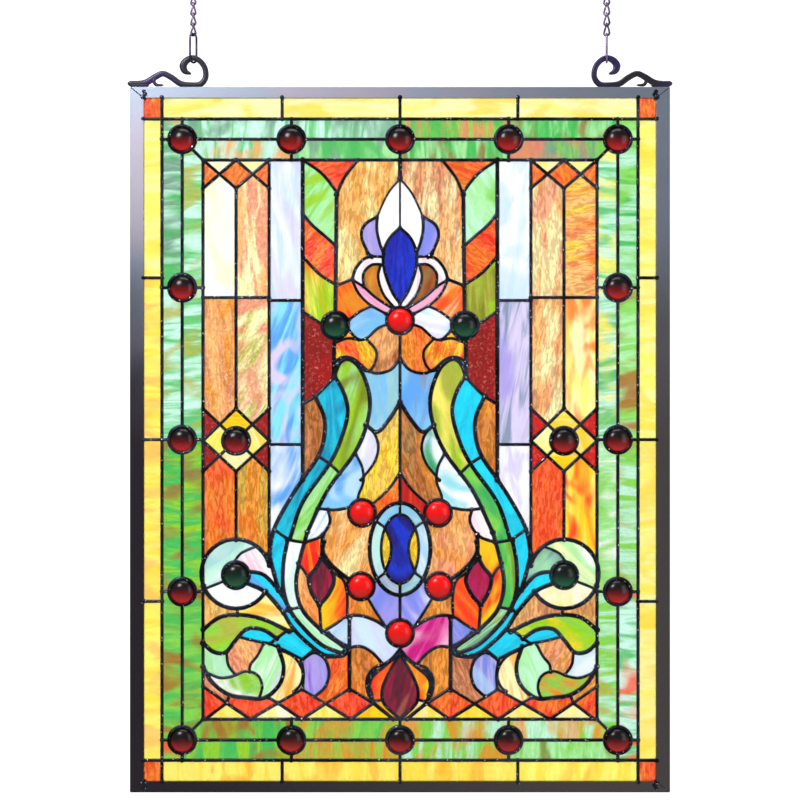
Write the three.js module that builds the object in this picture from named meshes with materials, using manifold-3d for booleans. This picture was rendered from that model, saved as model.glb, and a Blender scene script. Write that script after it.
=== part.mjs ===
// Stained glass window panel: cut glass and glass jewels held by solder leads in a zinc frame,
// with two scroll hooks on the top bar and two chains that hang it up.
// Millimetres, +Z up. The coloured face looks towards -Y. The origin lies midway between the
// two hanging rings, at the height where they bear.
import * as THREE from "three";
import Module from "manifold-3d";
import { mergeVertices } from "three/addons/utils/BufferGeometryUtils.js";

const wasm = await Module();
wasm.setup();

// Frame of zinc channel
const FRAME_WIDTH = 467;
const FRAME_HEIGHT = 610;
const SIDE_FACE = 12;
const END_FACE = 9.5;
const CHANNEL_LIP = 1;
const CHANNEL_WEB = 1.5;
const SLOT_PLAY = 0.3;
const MITRE_GAP = 0.3;

// Glass and solder
const GLASS_THICKNESS = 3;
const GLASS_BITE = 6;
const PIECE_GAP = 0.4;
const SOLDER_RISE = 1.2;
const LEAD_THIN = 1.8;
const LEAD_WIDTH = 2.8;
const LEAD_BOLD = 3.6;
const LEAD_END_GAP = 0.3;
const CURVE_STEP = 1.2;
const EDGE_STEP = 2.4;
const OUTLINE_STEP = 1.1;
const SMALLEST_OPENING = 6;

// Border bands, from the frame inwards
const YELLOW_SIDE_BAND = 15.5;
const YELLOW_END_BAND = 18;
const GREEN_BAND = 35.5;
const BORDER_LINE = 18;
const TOP_JEWEL_PITCH = 94;
const SIDE_JEWEL_PITCH = 131.5;
const TOP_BAR_PITCH = 102;
const SIDE_BAR_PITCH = 140;

// Jewels: pressed glass rounds with a flat back
const JEWEL_RADIUS = 11;
const JEWEL_RISE = 5.4;
const JEWEL_SHOULDER = [0.74, 0.72];
const JEWEL_SIDES = 8;
const JEWEL_PLAY = 0.4;
const JEWEL_RING = 2.2;

// Scroll hooks, measured from the frame's outer top corner
const HOOK_THICKNESS = 3;
const HOOK_BAR = 4.2;
const HOOK_CURL = 2.6;
const HOOK_FOOT = 3.8;
const HOOK_STEP = 0.6;
const HOOK_CROWN = [54.5, 25.4];
const HOOK_PLAY = 0.9;

// Chains
const WIRE = 1.9;
const LOOP_LENGTH = 27;
const LOOP_WIDTH = 9;
const LOOP_TURN_LEFT = 25;
const LOOP_TURN_RIGHT = 8;
const LINK_LENGTH = 12.5;
const LINK_WIDTH = 7.6;
const LINK_COUNT = 4;
const LINK_GRIP = 0.15;
const RING_WIRE = 2.4;
const RING_RADIUS = 8.5;

const sightHalf = FRAME_WIDTH / 2 - SIDE_FACE;
const sightBottom = END_FACE;
const sightTop = FRAME_HEIGHT - END_FACE;
const glassBack = GLASS_THICKNESS / 2;
const glassFront = -GLASS_THICKNESS / 2;
const frameHalfDepth = glassBack + SLOT_PLAY + CHANNEL_LIP;
const ringX = sightHalf - YELLOW_SIDE_BAND;
const ringTop = sightTop - YELLOW_END_BAND;
const ringBottom = sightBottom + YELLOW_END_BAND;
const fieldHalf = ringX - GREEN_BAND;
const fieldTop = ringTop - GREEN_BAND;
const fieldBottom = ringBottom + GREEN_BAND;
const borderX = fieldHalf + BORDER_LINE;
const borderTop = fieldTop + BORDER_LINE;
const borderBottom = fieldBottom - BORDER_LINE;
const midHeight = FRAME_HEIGHT / 2;

// The picture keeps its own proportions: its outermost lines, at the pillars' outer edge and head
// and at the base's foot, are set on the edges of the field that the bands leave
function drawnField() {
  const pillar = pillarLeads().flatMap(({ points }) => points);
  const base = baseLeads().flatMap(({ points }) => points);
  return {
    half: Math.max(...pillar.map(([x]) => Math.abs(x))),
    bottom: Math.min(...base.map(([, z]) => z)),
    top: Math.max(...pillar.map(([, z]) => z)),
  };
}

function placed([x, z]) {
  const share = (z - drawn.bottom) / (drawn.top - drawn.bottom);
  return [(x / drawn.half) * fieldHalf, fieldBottom + share * (fieldTop - fieldBottom)];
}

function mirrored(points) {
  return points.map(([x, z]) => [-x, z]);
}

// Solids
function solidOf(geometry) {
  const bare = geometry.clone();
  bare.deleteAttribute("normal");
  bare.deleteAttribute("uv");
  const merged = mergeVertices(bare, 1e-4);
  return new wasm.Manifold(
    new wasm.Mesh({
      numProp: 3,
      vertProperties: Float32Array.from(merged.attributes.position.array),
      triVerts: Uint32Array.from(merged.index.array),
    }),
  );
}

function geometryOf(solid) {
  const mesh = solid.getMesh();
  const geometry = new THREE.BufferGeometry();
  geometry.setAttribute("position", new THREE.BufferAttribute(Float32Array.from(mesh.vertProperties), 3));
  geometry.setIndex(new THREE.BufferAttribute(Uint32Array.from(mesh.triVerts), 1));
  return geometry;
}

function joined(solids) {
  let queue = solids;
  while (queue.length > 1) {
    const next = [];
    for (let i = 0; i < queue.length; i += 2) {
      next.push(i + 1 < queue.length ? queue[i].add(queue[i + 1]) : queue[i]);
    }
    queue = next;
  }
  return queue[0];
}

// A flat plate in the X-Z plane between two depths, from its outline
function plate(outline, back, front, holes = []) {
  const shape = new THREE.Shape(outline.map(([x, z]) => new THREE.Vector2(x, z)));
  for (const hole of holes) {
    shape.holes.push(new THREE.Path(hole.map(([x, z]) => new THREE.Vector2(x, z))));
  }
  const geometry = new THREE.ExtrudeGeometry(shape, { depth: back - front, bevelEnabled: false });
  geometry.rotateX(Math.PI / 2);
  geometry.translate(0, back, 0);
  return solidOf(geometry);
}

function rectangle(left, right, bottom, top) {
  return [[left, bottom], [right, bottom], [right, top], [left, top]];
}

function circle([cx, cz], radius, sides) {
  const points = [];
  for (let i = 0; i < sides; i += 1) {
    const angle = ((i + 0.5) / sides) * 2 * Math.PI;
    points.push([cx + radius * Math.cos(angle), cz + radius * Math.sin(angle)]);
  }
  return points;
}

// Curves of the drawing
function arc([cx, cz], rx, rz, fromDegrees, toDegrees, steps = 12) {
  const points = [];
  for (let i = 0; i <= steps; i += 1) {
    const angle = THREE.MathUtils.degToRad(fromDegrees + ((toDegrees - fromDegrees) * i) / steps);
    points.push([cx + rx * Math.cos(angle), cz + rz * Math.sin(angle)]);
  }
  return points;
}

function distanceToChord(point, start, end) {
  const [dx, dz] = [end[0] - start[0], end[1] - start[1]];
  const length = Math.hypot(dx, dz);
  const [px, pz] = [point[0] - start[0], point[1] - start[1]];
  return length === 0 ? Math.hypot(px, pz) : Math.abs(px * dz - pz * dx) / length;
}

// Keeps only the points a curve needs to stay within the step of its true line
function simplified(points, step) {
  if (points.length < 3) return points;
  const start = points[0];
  const end = points[points.length - 1];
  let far = 0;
  let reach = 0;
  points.forEach((point, i) => {
    const away = distanceToChord(point, start, end);
    if (i > 0 && i < points.length - 1 && away > reach) {
      reach = away;
      far = i;
    }
  });
  if (reach <= step) return [start, end];
  const head = simplified(points.slice(0, far + 1), step);
  return [...head.slice(0, -1), ...simplified(points.slice(far), step)];
}

function smooth(points, samples = 10) {
  if (points.length < 3) return points;
  const vectors = points.map(([x, z]) => new THREE.Vector3(x, z, 0));
  const curve = new THREE.CatmullRomCurve3(vectors, false, "centripetal");
  return curve.getPoints(samples * (points.length - 1)).map((v) => [v.x, v.y]);
}

// The outline of a strip of even width that follows a line of points
function strip(points, width, overrun = 0) {
  const left = [];
  const right = [];
  const last = points.length - 1;
  points.forEach((point, i) => {
    const before = points[Math.max(i - 1, 0)];
    const after = points[Math.min(i + 1, last)];
    const here = direction(i === 0 ? point : before, i === 0 ? after : point);
    const next = direction(i === last ? before : point, i === last ? point : after);
    const bend = [here[0] + next[0], here[1] + next[1]];
    const size = Math.hypot(bend[0], bend[1]);
    const normal = [-bend[1] / size, bend[0] / size];
    const spread = width / 2 / Math.max(size / 2, 0.5);
    const ends = i === 0 ? -overrun : i === last ? overrun : 0;
    const [x, z] = [point[0] + here[0] * ends, point[1] + here[1] * ends];
    left.push([x + normal[0] * spread, z + normal[1] * spread]);
    right.push([x - normal[0] * spread, z - normal[1] * spread]);
  });
  return [...right, ...left.reverse()];
}

function direction(from, to) {
  const [dx, dz] = [to[0] - from[0], to[1] - from[1]];
  const length = Math.hypot(dx, dz);
  return [dx / length, dz / length];
}

// Leads of the drawing. Each is a line of points on the left half; parts of the picture list
// theirs, and the right half mirrors them. An edge is a lead that parts two fields of glass.
function lead(points, width = LEAD_WIDTH, edge = false) {
  return { points, width, edge };
}

function bent(points, width = LEAD_WIDTH, edge = false) {
  return lead(smooth(points), width, edge);
}

// A lead too slight for the lattice solid, which keeps the main lines
function fine(slight) {
  return { ...slight, slight: true };
}

function pillarLeads() {
  const [outer, middle, inner] = [-171, -142.3, -113.6];
  const [top, cross] = [547, 522.5];
  return [
    lead([[outer, top], [middle, cross]]),
    lead([[middle, top], [outer, cross]]),
    lead([[middle, top], [inner, cross]]),
    lead([[inner, top], [middle, cross]]),
    lead([[middle, cross], [middle, 332]]),
    lead([[outer, 428], [inner, 428]]),
    lead([[outer, 304], [middle, 332], [inner, 304]]),
    lead([[outer, 304], [middle, 277.5], [inner, 304]]),
    lead([[outer, 332], [inner, 277.5]]),
    lead([[inner, 332], [outer, 277.5]]),
    lead([[middle, 277.5], [middle, 218]]),
    lead([[inner, top], [inner, 196]], LEAD_WIDTH, true),
  ];
}

function columnLeads() {
  return [
    lead([[-113.6, 425.5], [-84.5, 425.5]]),
    lead([[-113.6, 300.8], [-84.5, 300.8]]),
    lead([[-84.5, 547], [-84.5, 270]], LEAD_BOLD, true),
    bent([[-84.5, 547], [-69.3, 536.6], [-61, 527.5], [-55, 519]], LEAD_WIDTH),
    bent([[-36.6, 547], [-48.2, 532], [-55, 517]], LEAD_WIDTH, true),
    lead([[-55, 517], [-56.2, 404]], LEAD_BOLD, true),
    bent([[-84.5, 501], [-77, 491.5], [-65, 481], [-55, 472]]),
    bent([[-84.5, 463.5], [-70, 448.3], [-55, 438.5]]),
    lead([[-84.5, 416], [-56.2, 397]]),
    bent([[-56.2, 404], [-57.2, 380], [-57.6, 358.5]], LEAD_BOLD, true),
    bent([[-57.6, 358.5], [-72.8, 343], [-84.5, 335.5]], LEAD_WIDTH, true),
  ];
}

function lilyLeads() {
  return [
    lead([[0, 547], [0, 531]], LEAD_BOLD, true),
    lead([[0, 531], [0, 488.5]], LEAD_THIN),
    bent([[0, 531], [-9.8, 519], [-17.5, 503.5], [-19.9, 497]], LEAD_THIN, true),
    bent([[-19.9, 497], [-20, 486], [-17.3, 474], [-14.2, 466]]),
    bent([[0, 488.5], [-9, 479.7], [-14.3, 467], [-13.8, 453], [-6.4, 432], [0, 422.8]]),
    bent([[-19.9, 498], [-30.6, 491], [-33.6, 482], [-27.8, 466]], LEAD_WIDTH, true),
    fine(lead([[-14.5, 463.3], [-25, 463.6]])),
    bent([[-24.4, 463.6], [-31, 461.6], [-38.2, 453.4], [-41.6, 443.6]], LEAD_WIDTH, true),
    lead([[-28, 467], [-24.4, 463]], LEAD_WIDTH, true),
    fine(bent([[-15, 456.6], [-24.5, 456.3], [-31.6, 449], [-31.6, 437.4]])),
    fine(bent([[-16.9, 456], [-19, 446], [-14.5, 431], [-5.1, 419.4]])),
    fine(bent([[-41.6, 443.6], [-31.6, 437.2], [-21.2, 428], [-6.2, 418.4]])),
    fine(bent([[-41.6, 443.6], [-36.5, 432.5], [-27.5, 422.8], [-12.4, 414]])),
    lead([[-55, 438.5], [-41.3, 443.8]], LEAD_WIDTH, true),
    fine(bent([[-24.6, 420.6], [-34.5, 416], [-44, 409]])),
    fine(bent([[-9, 405.5], [-19, 401.6], [-29.4, 392.4], [-35.6, 391.6], [-44, 399]])),
    fine(bent([[-29.4, 392.4], [-20.6, 381.5], [-21.5, 372], [-26, 364.5]])),
    fine(bent([[-57, 388.6], [-45.4, 392.6], [-35.6, 391.4]])),
    bent([[-57.3, 372], [-50, 376.2], [-41, 375.2], [-29, 365]], LEAD_WIDTH, true),
    bent([[-30.5, 365.5], [-21, 362.4], [-8, 365.6], [0, 375.5]], LEAD_WIDTH, true),
    lead([[0, 408], [0, 250.3]]),
  ];
}

// The lyre: three long lines that run from the lily down into the scrolls
function lyreLeads() {
  const inner = [
    [-57.6, 358.5], [-52.5, 371], [-46.4, 374.8], [-37.5, 370], [-29.4, 354.6], [-26, 336],
    [-30.4, 313], [-39.5, 293.3], [-62.9, 261.2], [-80.5, 224.8],
  ];
  const innerLow = [
    [-80.5, 224.8], [-87.2, 200], [-90.2, 180], [-85.7, 159.5], [-71.1, 142.5], [-47, 124.4],
  ];
  const middle = [
    [-57, 360.5], [-49.4, 346.8], [-45.3, 330], [-51.6, 304], [-61, 284.4], [-84.9, 250],
    [-95.6, 219],
  ];
  const middleLow = [
    [-97.6, 218], [-101.2, 198], [-101, 174.5], [-95.5, 157.5], [-84.2, 142.5], [-67, 126.8], [-50.5, 120],
  ];
  const outerHigh = [[-73.5, 342.5], [-65.8, 324], [-65.7, 307], [-71, 290.6], [-84.5, 270.6]];
  const outer = [[-84.5, 270.6], [-95.6, 253.6], [-109.4, 227.4], [-113.6, 206]];
  const outerLow = [[-113.6, 206], [-110, 191], [-105.2, 174.6]];
  return [
    bent(inner, LEAD_BOLD, true),
    bent(innerLow, LEAD_BOLD, true),
    bent(middle, LEAD_BOLD),
    bent(middleLow, LEAD_BOLD),
    bent(outerHigh, LEAD_BOLD),
    bent(outer, LEAD_BOLD, true),
    bent(outerLow, LEAD_BOLD, true),
    bent([[-70.6, 290.3], [-61, 284], [-52, 275.6]]),
    bent([[-109.4, 227.4], [-102, 222], [-95.6, 218.3], [-82.5, 216]]),
    fine(lead([[-98.5, 157.5], [-85.7, 160.2]])),
  ];
}

function heartLeads() {
  const [centre, outerX, outerZ, innerX, innerZ] = [[0, 210.3], 26.4, 40, 16.4, 30];
  return [
    bent([[-29.4, 317.6], [-20, 311.5], [-10, 321.7], [0, 337.5]], LEAD_BOLD),
    fine(bent([[-28.3, 316.5], [-21.8, 309.5], [-18.8, 298], [-22.2, 285.5], [-34, 270]])),
    fine(bent([[-38.3, 292.2], [-33, 281.5], [-31.7, 269], [-36.5, 254], [-33, 241]])),
    bent([[-43, 246.5], [-56, 244.2], [-71.5, 245.4]]),
    bent([[-62.5, 244.6], [-60.7, 234], [-68.5, 221.6], [-82.5, 216]]),
    fine(bent([[0, 276.5], [-9.5, 262.6], [-22, 250.6]])),
    bent([[-67, 222.6], [-67, 208], [-57.6, 194.6], [-40, 181]], LEAD_BOLD),
    lead(arc(centre, outerX, outerZ, 90, 270), LEAD_BOLD),
    fine(lead(arc(centre, innerX, innerZ, 90, 270))),
    fine(lead([[0, 250.3], [0, 240.3]])),
    lead([[0, 180.3], [0, 137.5]]),
    fine(lead([[-21.5, 235], [-13, 228.7]])),
    fine(lead([[-20.5, 184], [-12.6, 190]])),
    fine(bent([[-13, 228.7], [-8, 216], [-8.2, 204], [-12.9, 190.6]])),
  ];
}

function flameLeads() {
  return [
    bent([[-68, 215], [-68.4, 203], [-72.5, 194.4], [-79.2, 185.6], [-76.6, 172.5], [-70, 161.6]], LEAD_BOLD),
    bent([[-68.4, 203], [-59.6, 191.5], [-57.2, 183], [-62.4, 170.5], [-70, 161.6]], LEAD_BOLD),
    fine(bent([[-88.7, 198], [-83.6, 192], [-79.2, 184.5]])),
    lead([[-70, 163], [-68.5, 140]]),
    fine(bent([[-57.2, 189.2], [-49.6, 184], [-46, 172], [-46, 151.6]])),
    bent([[-67.6, 138.6], [-56, 145.4], [-46.6, 151.6], [-36, 152.8], [-23, 149], [-9, 140.5]]),
    fine(bent([[-34, 178], [-21, 156], [-12.4, 143]])),
    fine(bent([[-24.5, 174], [-22.6, 180], [-20, 184]])),
    lead([[-43.9, 151], [-43.9, 88.5]], LEAD_BOLD),
    fine(bent([[-62, 137.6], [-53, 130.4], [-44.5, 126]])),
    bent([[-47, 124.4], [-34, 126], [-24, 120.6], [-14.4, 110.2]], LEAD_WIDTH, true),
    bent([[-14.4, 110.2], [-7, 115.6], [0, 124]], LEAD_WIDTH, true),
    lead([[-50.5, 120], [-47, 124.4]], LEAD_WIDTH, true),
    lead([[0, 137.5], [0, 120]]),
  ];
}

function baseLeads() {
  const bottom = 63;
  return [
    bent([[0, 120], [-14, 108.5], [-25, 98], [-26.2, 88], [-22.6, 77.6]]),
    bent([[0, 120], [-11, 100.5], [-15.6, 88], [-14.4, 77.4], [0, bottom]]),
    fine(lead([[-15.3, 80], [-22, 78.4]])),
    fine(lead([[-22.8, 77.4], [-6, 63.6]])),
    fine(bent([[-21, 111.6], [-27.4, 104], [-28.8, 92], [-23.6, 77.6]])),
    fine(bent([[-44, 124.8], [-47.6, 118.6], [-56, 116.8], [-65.6, 116.6]])),
    bent([[-84.4, 114.8], [-74.7, 120.6], [-65.6, 115.4], [-61.6, 103], [-65, 91], [-73.4, 83]]),
    fine(bent([[-85.4, 114], [-83.6, 102], [-84.4, 89.4]])),
    lead([[-169, bottom], [-150.5, 77], [-130, bottom], [-106, 77], [-85.3, bottom], [-64.7, 76.5]]),
    lead([[-64.7, 76.5], [-43, bottom], [-23.3, 76.8], [-6, bottom]]),
    fine(lead([[-171, 91.5], [-150.5, 77]])),
    fine(lead([[-114, 81.6], [-106, 77], [-85, 88.8], [-64.7, 76.5], [-43.9, 89.4], [-23.3, 76.8]])),
  ];
}

function scrollLeads() {
  const spiral = [-142.5, 188.8];
  const band = [
    [-101, 155], [-93.5, 142.6], [-79, 128], [-65.5, 118.6], [-57, 117.2], [-50.5, 120],
  ];
  const wave = [
    [-171, 129], [-162, 121.4], [-152, 120.6], [-143, 131], [-133, 141], [-119, 140.5], [-107, 133],
  ];
  const roll = [
    [-171, 108.6], [-163, 95], [-149, 84.6], [-133, 81.6], [-118, 81.4], [-104.6, 93],
    [-101, 108], [-106, 126],
  ];
  const innerRoll = [
    [-168, 103.4], [-156, 98.8], [-146, 100], [-133, 104.6], [-123, 100.6], [-119.6, 91], [-122, 82],
  ];
  return [
    lead(arc(spiral, 30, 30, 200, 14, 16), LEAD_BOLD, true),
    lead(arc(spiral, 30, 30, 200, 322, 10), LEAD_BOLD),
    fine(bent([[-146, 200], [-138, 206.6], [-124.9, 212.6]])),
    fine(lead([[-148, 184.5], [-168.4, 176.3]])),
    bent([[-134, 191], [-119, 188.4], [-105.2, 174.6]], LEAD_BOLD),
    bent([[-105.2, 174.6], [-99.5, 165.5], [-95.9, 157.5]], LEAD_BOLD, true),
    fine(lead([[-105.2, 175.6], [-101, 170.5]], LEAD_BOLD)),
    bent([[-134, 181], [-118.5, 174], [-101, 155]], LEAD_BOLD),
    lead([[-101.6, 155.4], [-94.8, 158.4]], LEAD_WIDTH, true),
    bent(band, LEAD_BOLD, true),
    fine(lead([[-141, 159], [-141, 153]])),
    bent([[-171, 140.4], [-157, 151], [-139, 153.4], [-119, 149.6], [-96, 139]], LEAD_BOLD),
    bent(wave, LEAD_BOLD),
    fine(bent([[-140, 134.4], [-126, 130.8], [-112, 128.4]])),
    lead([[-113, 128.4], [-98.5, 139.4]]),
    fine(bent([[-113, 128.4], [-100, 122.6], [-85, 115]])),
    fine(lead([[-84.8, 115], [-74.5, 123.5]])),
    bent(roll, LEAD_BOLD),
    fine(bent([[-105, 123.8], [-91, 116], [-84.4, 103], [-87, 92], [-92, 87]])),
    fine(bent([[-150.6, 120.4], [-149, 110], [-143, 101.4]])),
    fine(bent(innerRoll)),
    fine(bent([[-118.6, 128], [-124, 117.6], [-130, 110], [-130.6, 104]])),
  ];
}

const drawn = drawnField();

function pictureLeads() {
  const half = [
    ...pillarLeads(), ...columnLeads(), ...lilyLeads(), ...lyreLeads(), ...heartLeads(),
    ...flameLeads(), ...baseLeads(), ...scrollLeads(),
  ];
  const whole = [];
  for (const each of half) {
    whole.push({ ...each, points: each.points.map(placed) });
    if (each.points.some(([x]) => x !== 0)) {
      whole.push({ ...each, points: mirrored(each.points).map(placed) });
    }
  }
  return whole;
}

// Jewels: their centres and glass
const DARK_RED = 0x3a0608;
const DARK_GREEN = 0x04281c;
const BRIGHT_RED = 0xd00a06;

function borderJewels() {
  const found = [];
  for (const [row, z] of [["top", borderTop], ["bottom", borderBottom]]) {
    const spots = [-borderX, -TOP_JEWEL_PITCH, 0, TOP_JEWEL_PITCH, borderX];
    spots.forEach((x, i) => found.push({ name: `jewel_${row}_${i + 1}`, at: [x, z], color: DARK_RED }));
  }
  for (const [side, x] of [["left", -borderX], ["right", borderX]]) {
    const spots = [midHeight + SIDE_JEWEL_PITCH, midHeight, midHeight - SIDE_JEWEL_PITCH];
    spots.forEach((z, i) => found.push({ name: `jewel_${side}_${i + 1}`, at: [x, z], color: DARK_RED }));
  }
  return found;
}

function pictureJewels() {
  const pairs = [
    ["pillar", [-142.3, 304], DARK_RED],
    ["leaf", [-56.2, 404], DARK_GREEN],
    ["scroll", [-142.5, 187.8], DARK_GREEN],
    ["heart_upper", [-33, 241.6], BRIGHT_RED],
    ["heart_lower", [-34, 178], BRIGHT_RED],
  ];
  const found = [
    { name: "jewel_lily", at: placed([0, 408]), color: BRIGHT_RED },
    { name: "jewel_flame", at: placed([0, 137.5]), color: BRIGHT_RED },
  ];
  for (const [name, [x, z], color] of pairs) {
    found.push({ name: `jewel_${name}_left`, at: placed([x, z]), color });
    found.push({ name: `jewel_${name}_right`, at: placed([-x, z]), color });
  }
  return found;
}

// Leads of the border: two rings of lines, the bars across them and a stub at every jewel
function borderLeads() {
  const out = sightHalf + GLASS_BITE;
  const low = sightBottom - GLASS_BITE;
  const high = sightTop + GLASS_BITE;
  const found = [];
  for (const z of [ringTop, ringBottom]) {
    found.push(lead([[-out, z], [out, z]], LEAD_WIDTH, true));
  }
  for (const x of [-ringX, ringX]) {
    found.push(lead([[x, ringBottom], [x, ringTop]], LEAD_WIDTH, true));
    found.push(lead([[x, ringTop], [x, high]]));
    found.push(lead([[x, low], [x, ringBottom]]));
  }
  for (const x of [-fieldHalf, fieldHalf]) {
    found.push(lead([[x, fieldBottom], [x, fieldTop]], LEAD_WIDTH, true));
  }
  for (const z of [fieldTop, fieldBottom]) {
    found.push(lead([[-fieldHalf, z], [fieldHalf, z]], LEAD_WIDTH, true));
  }
  for (const z of [borderTop, borderBottom]) {
    found.push(lead([[-borderX, z], [borderX, z]]));
  }
  for (const x of [-borderX, borderX]) {
    found.push(lead([[x, borderBottom], [x, borderTop]]));
  }
  for (const x of [-TOP_BAR_PITCH, 0, TOP_BAR_PITCH]) {
    found.push(lead([[x, ringTop], [x, high]]));
    found.push(lead([[x, low], [x, ringBottom]]));
  }
  for (const z of [midHeight - SIDE_BAR_PITCH, midHeight, midHeight + SIDE_BAR_PITCH]) {
    found.push(lead([[ringX, z], [out, z]]));
    found.push(lead([[-out, z], [-ringX, z]]));
  }
  for (const x of [-TOP_JEWEL_PITCH, 0, TOP_JEWEL_PITCH]) {
    found.push(fine(lead([[x, fieldTop], [x, ringTop]])));
    found.push(fine(lead([[x, ringBottom], [x, fieldBottom]])));
  }
  for (const z of [midHeight - SIDE_JEWEL_PITCH, midHeight, midHeight + SIDE_JEWEL_PITCH]) {
    found.push(fine(lead([[fieldHalf, z], [ringX, z]])));
    found.push(fine(lead([[-ringX, z], [-fieldHalf, z]])));
  }
  const cornerHeights = [[borderTop, ringTop, fieldTop], [borderBottom, ringBottom, fieldBottom]];
  for (const side of [-1, 1]) {
    for (const [z, ring, field] of cornerHeights) {
      found.push(lead([[side * borderX, z], [side * fieldHalf, field]], LEAD_WIDTH, true));
      found.push(lead([[side * borderX, z], [side * ringX, z]], LEAD_WIDTH, true));
      found.push(fine(lead([[side * borderX, z], [side * borderX, ring]])));
    }
  }
  return found;
}

const jewels = [...borderJewels(), ...pictureJewels()];
const leads = [...borderLeads(), ...pictureLeads()];

// Solder lattice: all the leads joined, with a ring round every jewel
function lattice(chosen, back, front) {
  const bars = chosen.filter((each) => !each.slight).map((each) => {
    const line = simplified(each.points, CURVE_STEP);
    return plate(strip(line, each.width), back, front);
  });
  const rings = jewels.map(({ at }) => {
    const outer = circle(at, JEWEL_RADIUS + JEWEL_RING / 2, JEWEL_SIDES);
    return plate(outer, back, front);
  });
  const bores = jewels.map(({ at }) => {
    const bore = circle(at, JEWEL_RADIUS - JEWEL_RING / 4, JEWEL_SIDES);
    return plate(bore, back + SOLDER_RISE, front - SOLDER_RISE);
  });
  const edge = LEAD_END_GAP;
  const window = rectangle(-sightHalf + edge, sightHalf - edge, sightBottom + edge, sightTop - edge);
  const whole = joined([...bars, ...rings]).subtract(joined(bores));
  return trimmed(whole.intersect(plate(window, back, front)), back, front);
}

// The same plate again with its outlines freed of points that do not shape it
function trimmed(solid, back, front) {
  const loops = frontLoops(solid, front).map((loop) => closedSimplified(loop, OUTLINE_STEP));
  const areas = loops.map((loop) => Math.abs(area(loop)));
  const outer = areas.indexOf(Math.max(...areas));
  const holes = loops.filter((_, i) => i !== outer && areas[i] > SMALLEST_OPENING);
  const cuts = holes.map((hole) => plate(hole, back + SOLDER_RISE, front - SOLDER_RISE));
  return plate(loops[outer], back, front).subtract(joined(cuts));
}

function area(loop) {
  return loop.reduce((sum, [x, z], i) => {
    const [nx, nz] = loop[(i + 1) % loop.length];
    return sum + (x * nz - nx * z) / 2;
  }, 0);
}

// The edges of the front face that only one triangle uses, followed round into loops
function frontLoops(solid, front) {
  const { vertProperties, triVerts } = solid.getMesh();
  const isFront = (v) => Math.abs(vertProperties[v * 3 + 1] - front) < 1e-4;
  const next = new Map();
  const key = (a, b) => `${a},${b}`;
  const used = new Set();
  for (let t = 0; t < triVerts.length; t += 3) {
    const corners = [triVerts[t], triVerts[t + 1], triVerts[t + 2]];
    if (corners.every(isFront)) {
      corners.forEach((corner, k) => used.add(key(corner, corners[(k + 1) % 3])));
    }
  }
  for (const edge of used) {
    const [a, b] = edge.split(",").map(Number);
    if (!used.has(key(b, a))) next.set(a, b);
  }
  const loops = [];
  while (next.size > 0) {
    const [start] = next.keys();
    const loop = [];
    let here = start;
    while (next.has(here)) {
      loop.push([vertProperties[here * 3], vertProperties[here * 3 + 2]]);
      const ahead = next.get(here);
      next.delete(here);
      here = ahead;
    }
    loops.push(loop);
  }
  return loops;
}

function farthestFrom([x, z], points) {
  const reach = points.map(([px, pz]) => Math.hypot(px - x, pz - z));
  return reach.indexOf(Math.max(...reach));
}

// A closed outline is cut at its two farthest corners and each half is thinned
function closedSimplified(loop, step) {
  const start = farthestFrom(loop[farthestFrom(loop[0], loop)], loop);
  const round = [...loop.slice(start), ...loop.slice(0, start)];
  const across = farthestFrom(round[0], round);
  const first = simplified(round.slice(0, across + 1), step);
  const second = simplified([...round.slice(across), round[0]], step);
  return [...first.slice(0, -1), ...second.slice(0, -1)];
}

// Fields of glass: the sheet cut along the edge leads and round the jewels
function glassFields() {
  const edgeOut = sightHalf + GLASS_BITE;
  const sheet = plate(
    rectangle(-edgeOut, edgeOut, sightBottom - GLASS_BITE, sightTop + GLASS_BITE), glassBack, glassFront,
  );
  const cuts = leads.filter((each) => each.edge).map((each) => {
    const line = simplified(each.points, EDGE_STEP);
    return plate(strip(line, PIECE_GAP, PIECE_GAP * 3), glassBack * 2, glassFront * 2);
  });
  const bores = jewels.map(({ at }) => {
    return plate(circle(at, JEWEL_RADIUS + JEWEL_PLAY, JEWEL_SIDES), glassBack * 2, glassFront * 2);
  });
  return sheet.subtract(joined([...cuts, ...bores]));
}

// Splits a solid into its separate bodies
function bodiesOf(solid) {
  const mesh = solid.getMesh();
  const count = mesh.vertProperties.length / 3;
  const parent = Array.from({ length: count }, (_, i) => i);
  const find = (i) => {
    let root = i;
    while (parent[root] !== root) root = parent[root];
    while (parent[i] !== root) {
      const up = parent[i];
      parent[i] = root;
      i = up;
    }
    return root;
  };
  for (let t = 0; t < mesh.triVerts.length; t += 3) {
    const root = find(mesh.triVerts[t]);
    parent[find(mesh.triVerts[t + 1])] = root;
    parent[find(mesh.triVerts[t + 2])] = root;
  }
  const bodies = new Map();
  for (let t = 0; t < mesh.triVerts.length; t += 3) {
    const root = find(mesh.triVerts[t]);
    if (!bodies.has(root)) bodies.set(root, []);
    const corners = [0, 1, 2].map((k) => {
      const v = mesh.triVerts[t + k] * 3;
      return [mesh.vertProperties[v], mesh.vertProperties[v + 1], mesh.vertProperties[v + 2]];
    });
    bodies.get(root).push(corners);
  }
  return [...bodies.values()];
}

function turn(a, b, [x, z]) {
  return (b[0] - a[0]) * (z - a[2]) - (b[2] - a[2]) * (x - a[0]);
}

// True where a body's front face covers the point
function covers(body, point) {
  return body.some(([a, b, c]) => {
    const flat = Math.abs(a[1] - glassFront) + Math.abs(b[1] - glassFront) + Math.abs(c[1] - glassFront);
    if (flat > 1e-3) return false;
    const signs = [turn(a, b, point), turn(b, c, point), turn(c, a, point)];
    return signs.every((s) => s >= 0) || signs.every((s) => s <= 0);
  });
}

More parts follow.
